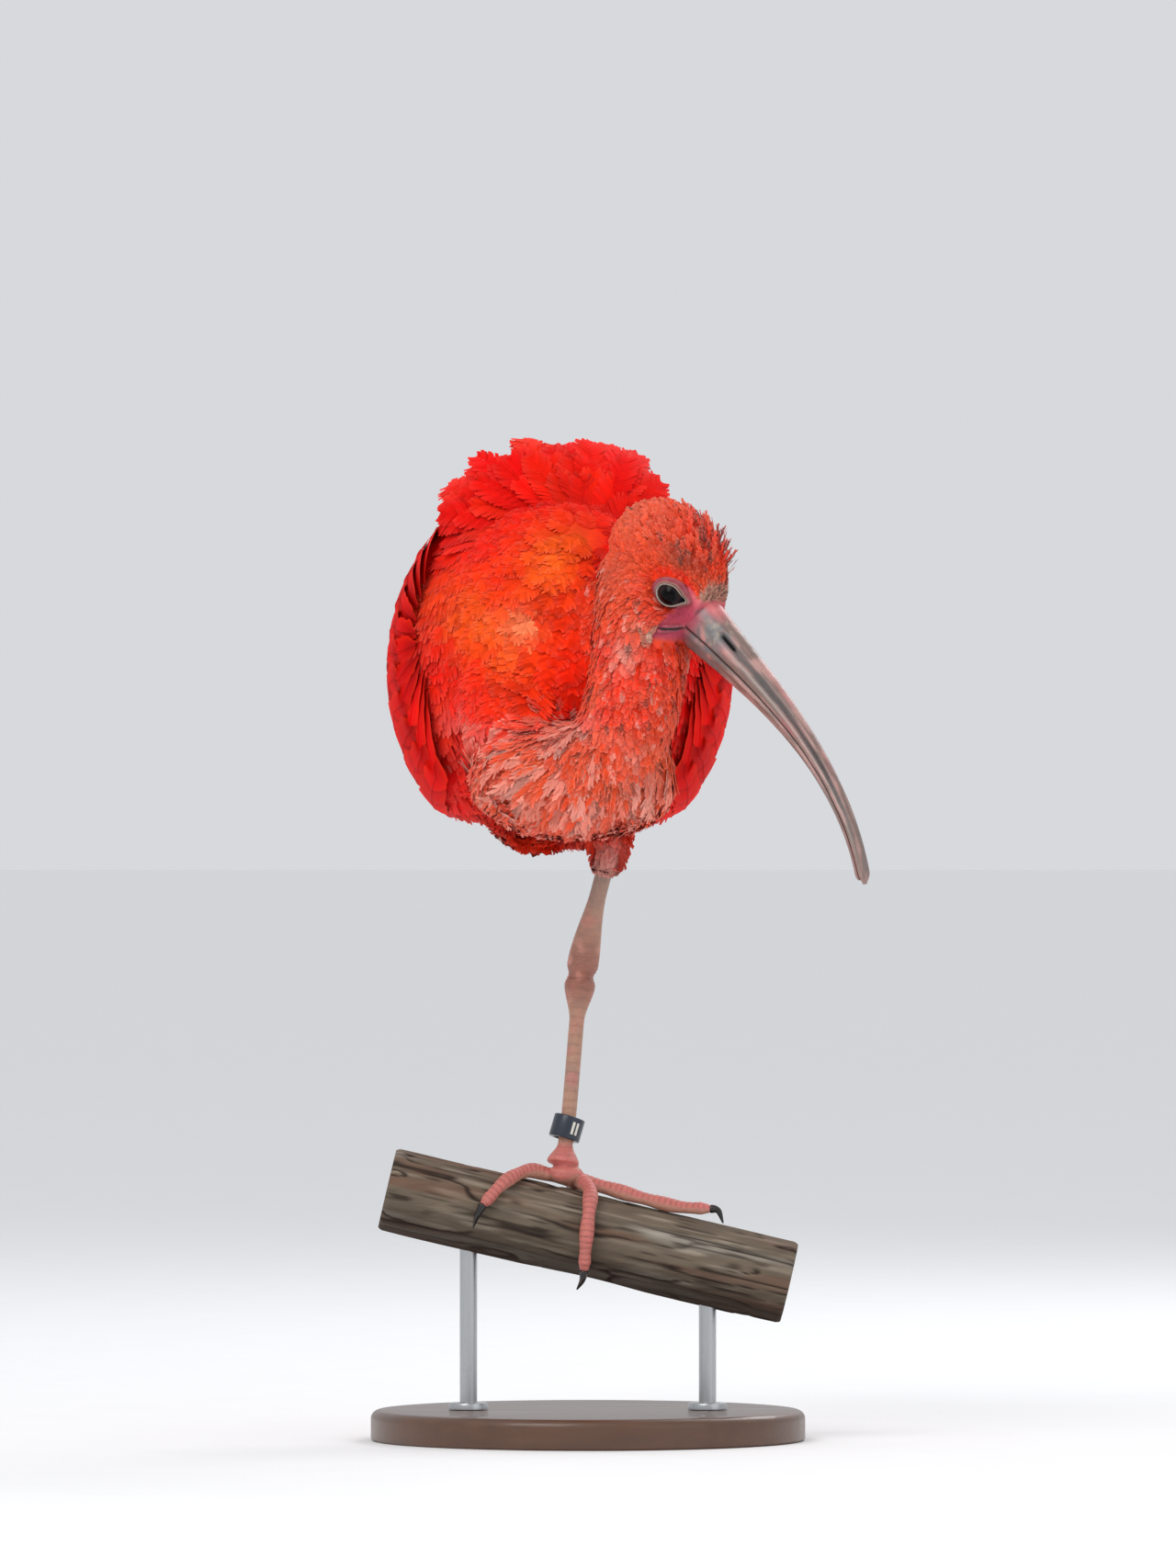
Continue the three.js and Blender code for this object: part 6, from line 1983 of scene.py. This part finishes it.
@dataclass
class Leg:
    """A bare leg and foot as one skin, ringed with plates, and its four claws."""

    side: int
    toe: float = 3.4
    hock: float = 7.4
    shank: float = 3.5
    claw: float = 2.1
    stations: int = 60

    def tibia_radius(self, t: Array) -> Array:
        """The lower tibia swells to the hock."""
        return 3.9 + (self.hock - 3.9) * smooth(t, 0.5, 0.94) - 1.6 * smooth(t, 0.94, 1)

    def tarsus_radius(self, t: Array) -> Array:
        """The tarsus narrows below the hock and swells where the toes part."""
        top = (self.hock - self.shank) * (1 - smooth(t, 0.04, 0.24)) - 1.4 * (1 - smooth(t, 0, 0.05))
        return self.shank + top + (7.6 - self.shank) * smooth(t, 0.9, 1)

    def toe_radius(self, t: Array) -> Array:
        """A toe swells a little at each joint."""
        return self.toe * (1.06 - 0.2 * t) * (1 - 0.42 * smooth(t, 0.92, 1)) + 0.3 * np.cos(t * 6 * math.pi)

    def lines(self) -> tuple[list[Limb], dict[str, Array], Array]:
        """The limbs, the claws' lines by toe, and the middle of the foot's pad."""
        lift = self.toe + 0.3
        n = self.stations
        t = np.linspace(0, 1, n)
        if self.side > 0:
            toes = {
                "middle": [(-9, 0, 4.6), (-4, 24, lift), (-2.5, 54, lift), (-1, 86, lift),
                           (1.6, 124, lift + 3.6)],
                "outer": [(-9, 0, 4.6), (4, 4, 4.4), (20, 7, lift), (36, 8, lift), (50.5, 6, 6)],
                "inner": [(-13, 0, 4.6), (-24, 0, 4.2), (-33, 12, lift + 0.6), (-42, 46, lift),
                          (-49, 80, lift)],
                "hallux": [(-11, -6, 4.6), (-11, -36, lift), (-9.5, -66, lift), (-8.5, -96, lift)],
            }
            claws = {
                "middle": [(1.6, 124, lift + 3.6), (1.8, 132, lift + 6), (0.4, 141, lift + 8)],
                "outer": [(50.5, 6, 6), (54, 8, 6.2), (57.5, 15, 1.6)],
                "inner": [(-49, 80, lift), (-50.5, 94, lift), (-51, 110, lift - 1.2)],
                "hallux": [(-8.5, -96, lift), (-8.2, -112, lift), (-8, -128, lift - 1)],
            }
            toe_lines = {name: spline(PERCH.at(*np.array(row, float).T), n) for name, row in toes.items()}
            claw_lines = {name: spline(PERCH.at(*np.array(row, float).T), 16) for name, row in claws.items()}
            tibia = spline([(16, -2, 292), (7.6, 5, 262), (1, 13, 236), (-3.4, 20, 213.4)], n)
            tarsus = spline([(-3.4, 20, 213.4), (-5.6, 15, 188), (-8.8, 5, 150), (-11.6, 0, 127.5)], n)
            pad = np.array([-10.4, -1.0, 122.5])
        else:
            ankle = np.array([-22.0, -6.0, 290.0])
            toe_lines, claw_lines = {}, {}
            for name, spread in (("middle", -2), ("outer", 6), ("inner", -9), ("hallux", 3)):
                behind = name == "hallux"
                reach = 14 if behind else 25
                start = ankle + (spread * 0.3, 2 if behind else -3, 0)
                knuckle = start + (spread * 0.7, -reach * 0.55, -1 if behind else 5)
                end = start + (spread * 0.9, -reach, 3 if behind else 3.5)
                toe_lines[name] = spline([start, knuckle, end], n)
                claw_lines[name] = spline([end, end + (0, -4, 1.5), end + (0, -7, 4.5)], 16)
            tibia = spline([(-39, 58, 293.5), (-37.5, 71, 287), (-36, 84, 279)], n)
            tarsus = spline([(-36, 84, 279), (-32, 58, 283), (-27, 24, 287), (-22, -6, 290)], n)
            pad = ankle + (0, -3, 0)
        ahead = (0.0, -1.0, 0.0)
        limbs = [Limb(tibia, self.tibia_radius(t), 3.4, 0.05, ahead),
                 Limb(tarsus, self.tarsus_radius(t), 4.4, 0.12, ahead)]
        limbs += [Limb(line, self.toe_radius(t), 2.6, 0.3) for line in toe_lines.values()]
        return limbs, claw_lines, pad

    def build(self) -> None:
        """Builds the skin of the leg and its claws."""
        limbs, claws, pad = self.lines()
        tubes = [Build.tube("limb", limb.line, limb.radius, 20, up=(0.2, 1, 0.1)) for limb in limbs]
        Build.choose()
        bpy.ops.mesh.primitive_uv_sphere_add(segments=32, ring_count=20, radius=MM)
        ball = bpy.context.object
        Build.move(ball, Build.points(ball) * (8.2, 7.0, 4.6) + pad)
        side = word(self.side)
        skin = Build.fuse(f"leg_{side}_skin", [*tubes, ball], 0.6, 3)
        self.scale_skin(skin, limbs)
        Build.finish(skin, Finishes.SCUTE, Slot.LEG, f"tibia_{side}", f"tarsus_{side}", f"foot_{side}")
        self.claws(side, claws)

    def scale_skin(self, skin: bpy.types.Object, limbs: list[Limb]) -> None:
        """Cuts the plates into the skin and paints it."""
        p, n = Build.points(skin), Build.normals(skin)
        best = np.full(len(p), np.inf)
        along, share, kind = np.zeros(len(p)), np.zeros(len(p)), np.zeros(len(p), int)
        away = np.zeros((len(p), 3))
        for i, limb in enumerate(limbs):
            d = np.linalg.norm(p[:, None] - limb.line[None], axis=2) - limb.radius[None] * 0.8
            k = d.argmin(axis=1)
            near = d.min(axis=1)
            closer = near < best
            far = np.concatenate([[0], np.cumsum(np.linalg.norm(np.diff(limb.line, axis=0), axis=1))])
            tangent = unit(np.gradient(limb.line, axis=0))
            exact = far[k] + dot(p - limb.line[k], tangent[k])
            best = np.where(closer, near, best)
            along = np.where(closer, exact, along)
            share = np.where(closer, k / (self.stations - 1), share)
            kind = np.where(closer, i, kind)
            away = np.where(closer[:, None], self.front(limb, k), away)
        pitch = np.array([limb.pitch for limb in limbs])[kind]
        depth = np.array([limb.depth for limb in limbs])[kind]
        facing = smooth(dot(n, away), -0.15, 0.35)
        sway = 0.35 * ripple(p, 4.0, 71)
        beat = (along / pitch + sway * 0.3) % 1.0
        seam = bell(beat, 0.5, 0.13) * facing
        is_toe = kind > 1
        joint = (kind == 0) * smooth(share, 0.62, 0.98) + (kind == 1) * (1 - smooth(share, 0.02, 0.22))
        wrinkle = (0.5 + 0.5 * np.sin(along * 2 * math.pi / 1.5 + 3 * ripple(p, 5, 72))) * joint
        Build.move(skin, p - n * (depth * seam * (1 - 0.7 * joint) + 0.28 * wrinkle)[:, None])
        c = np.tile(Dye.SHANK, (len(p), 1))
        c = mix(c, Dye.SMOKE, 0.65 * (kind == 0) * (1 - smooth(share, 0.3, 0.75)))
        c = mix(c, Dye.SMOKE, 0.3 * smooth(ripple(p, 5, 73), 0.0, 0.7) * ~is_toe)
        c = mix(c, Dye.HOCK, 0.75 * joint)
        # Painted highlights: pale patches on the hock's lumps.
        c = mix(c, Dye.BLUSH, 0.4 * joint * smooth(ripple(p, 4.5, 74), 0.1, 0.6))
        c = mix(c, Dye.ROSE, 0.25 * smooth(ripple(p, 6, 75), 0.1, 0.7))
        foot = np.maximum(is_toe.astype(float), (kind == 1) * smooth(share, 0.86, 0.98))
        c = mix(c, Dye.TOE, 0.85 * foot)
        c = mix(c, Dye.ROSE, 0.4 * foot * smooth(ripple(p, 5, 76), 0.0, 0.7))
        c = mix(c, Dye.SHANK, 0.7 * foot * (1 - facing))
        c = mix(c, Dye.HOCK * 0.6, np.array([0.1, 0.25, 0.5, 0.5, 0.5, 0.5])[kind] * seam)
        c = mix(c, Dye.UMBER, 0.35 * wrinkle * smooth(ripple(p, 3, 77), -0.2, 0.5))
        Build.dye(skin.data, c)

    def front(self, limb: Limb, k: Array) -> Array:
        """Which way the plated side of a limb looks: away from the branch on the gripping toes."""
        if limb.front is None and self.side > 0:
            x = limb.line[k, 0]
            core = np.stack([x, 0 * k, -x * math.tan(PERCH.slope)], 1)
            return unit(limb.line[k] - core - np.asarray(PERCH.middle) * (0, 1, 1))
        return np.tile(limb.front or (0.0, -0.4, -0.9), (len(k), 1))

    def claws(self, side: str, lines: dict[str, Array]) -> None:
        """The four claws, curved and black."""
        parts = []
        for name, line in lines.items():
            t = np.linspace(0, 1, len(line))
            part = Build.tube(f"claw_{name}", line, lerp(self.claw, 0.35, t**1.2), 14, up=(0.3, 1, 0.2))
            points = Build.points(part)
            tint = np.tile(Dye.BLACK, (len(points), 1))
            Build.dye(part.data, mix(tint, Dye.UMBER, 0.5 * smooth(ripple(points, 2.5, 78), 0, 0.8)))
            parts.append(part)
        piece = Build.join(f"claws_{side}", parts)
        Build.modify(piece, "SUBSURF", levels=1, render_levels=1)
        Build.outwards(piece)
        Build.finish(piece, Finishes.CLAW, Slot.CLAW, *[f"claw_{side}_{name}" for name in lines])


@dataclass
class LegRing:
    """The plain plastic ring on the standing leg, slanting down to the bird's left, with two tally bars."""

    middle: tuple[float, float, float] = (-9.7, 3.6, 143.5)
    radius: float = 7.2
    bore: float = 4.9
    height: float = 10.5
    bars: tuple[float, ...] = (24.0, 41.0)
    round_edge: float = 0.5
    around: int = 96

    def place(self, p: Array) -> Array:
        """From the ring's own frame to the model's."""
        turn = np.array(Matrix.Rotation(math.radians(-8), 3, "X") @ Matrix.Rotation(math.radians(16), 3, "Y"))
        return p @ turn.T + np.asarray(self.middle)

    def build(self) -> None:
        """The ring with rounded edges, and its bars."""
        e = self.round_edge
        outer, inner, top = self.radius - e, self.bore + e, self.height / 2 - e
        profile = []
        for x, z, turn in ((outer, top, 0), (inner, top, 90), (inner, -top, 180), (outer, -top, 270)):
            angles = [math.radians(turn + step) for step in (0, 30, 60, 90)]
            profile += [(x + e * math.cos(a), z + e * math.sin(a)) for a in angles]
        piece = self.lathe("leg_ring_plastic", profile, Dye.NAVY)
        Build.finish(piece, Finishes.RING, Slot.RING, "leg_band")
        patches = []
        for bar in self.bars:
            turn = np.radians(np.linspace(bar - 5.0, bar + 5.0, 5))
            z = np.array([-2.9, -2.6, 0.0, 2.6, 2.9])
            rise = np.array([0.02, 0.14, 0.16, 0.14, 0.02])
            tt, zz = np.meshgrid(turn, z, indexing="ij")
            level = self.radius + np.minimum(rise[:, None], rise[None])
            patch = np.stack([np.sin(tt) * level, -np.cos(tt) * level, zz], -1)
            patches.append(self.place(patch.reshape(-1, 3)))
        rows, columns = tt.shape
        starts = [rows * columns * i for i in range(len(patches))]
        faces = np.vstack([Build.grid(rows, columns, start=start)[:, ::-1] for start in starts])
        points = np.vstack(patches)
        tally = Build.mesh("leg_ring_tally", points, faces, np.tile(Dye.PALE, (len(points), 1)))
        Build.finish(tally, Finishes.RING, Slot.RING)

    def lathe(self, name: str, profile: list[tuple[float, float]], colour: Array) -> bpy.types.Object:
        """A closed ring turned from a closed outline of radius and height."""
        turn = np.linspace(0, 2 * math.pi, self.around, endpoint=False)[:, None]
        r, z = np.array(profile).T
        p = np.stack([r * np.cos(turn), r * np.sin(turn), z + 0 * turn], axis=-1).reshape(-1, 3)
        n = len(profile)
        last = (self.around - 1) * n
        seam = [[last + k, last + (k + 1) % n, (k + 1) % n, k] for k in range(n)]
        faces = np.vstack([Build.grid(self.around, n, is_ring=True), seam])
        tint = np.tile(colour, (len(p), 1)) * (0.9 + 0.2 * ripple(p, 3, 81))[:, None]
        piece = Build.mesh(name, self.place(p), faces, tint)
        Build.outwards(piece)
        Build.crease(piece, 40)
        return piece


@dataclass
class Stand:
    """The display stand: a stained base and two brushed steel rods up to the branch."""

    radius: float = 100.0
    height: float = 14.0
    edge: float = 4.0
    rods: tuple[float, float] = (-55.0, 55.0)

    @staticmethod
    def turned(name: str, outline: list[tuple[float, float]], x: float, colour: Array) -> bpy.types.Object:
        """A solid spun from its outline about an upright axis at x."""
        data = bpy.data.meshes.new(name)
        edges = [(i, i + 1) for i in range(len(outline) - 1)]
        data.from_pydata([(r * MM, 0, z * MM) for r, z in outline], edges, [])
        piece = bpy.data.objects.new(name, data)
        bpy.context.scene.collection.objects.link(piece)
        Build.modify(piece, "SCREW", angle=2 * math.pi, steps=128, render_steps=128, use_merge_vertices=True,
                     merge_threshold=1e-5, use_normal_calculate=True)
        Build.outwards(piece)
        p = Build.points(piece)
        Build.move(piece, p + (x, 0, 0))
        Build.dye(piece.data, np.tile(colour, (len(p), 1)))
        Build.crease(piece, 35)
        return piece

    def build(self) -> None:
        """Builds the base and the rods."""
        r, h, e = self.radius, self.height, self.edge
        curve = [(r - e + e * math.sin(a), h - e + e * math.cos(a)) for a in np.linspace(0, math.pi / 2, 9)]
        outline = [(0, h), *[(x, h) for x in (30, 60, 85)], *curve, (r, 1.0), (r - 1, 0), (50, 0), (0, 0)]
        base = self.turned("stand_base_wood", outline, 0.0, Dye.STAIN)
        Build.finish(base, Finishes.WOOD, Slot.WOOD, "stand_base")
        for x, side in zip(self.rods, (1, -1)):
            top = PERCH.middle[2] - x * math.tan(PERCH.slope) - 12
            foot = h + 0.3
            collar = [(8, foot + 3), (8.7, foot + 2.7), (9, foot + 2), (9, foot), (0, foot)]
            line = [(0, top), (4, top), (4, foot + 3), (4, foot + 3), *collar]
            node = f"stand_rod_{word(side)}"
            rod = self.turned(node + "_steel", line, x, Dye.STEEL)
            Build.finish(rod, Finishes.STEEL, Slot.STEEL, node)


def main() -> None:
    """Builds the model piece by piece."""
    logging.basicConfig(level=logging.INFO, format="%(name)s %(message)s")
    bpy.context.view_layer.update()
    Studio().build()
    skin = Skin()
    skin.build()
    Plumage(skin).build()
    for side in (1, -1):
        Wing(side).build()
    Tail().build()
    for side in (1, -1):
        Eye(side).build()
    Gape(skin).build()
    Bill().build()
    for side in (1, -1):
        Leg(side).build()
    LegRing().build()
    PERCH.build()
    Stand().build()
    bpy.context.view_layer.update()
    shown = [o.data for o in bpy.data.objects if o.type == "MESH" and not o.hide_render]
    count = sum(len(face.vertices) - 2 for data in shown for face in data.polygons)
    log.info("about %d triangles in all", count)


if __name__ == "__main__":
    main()
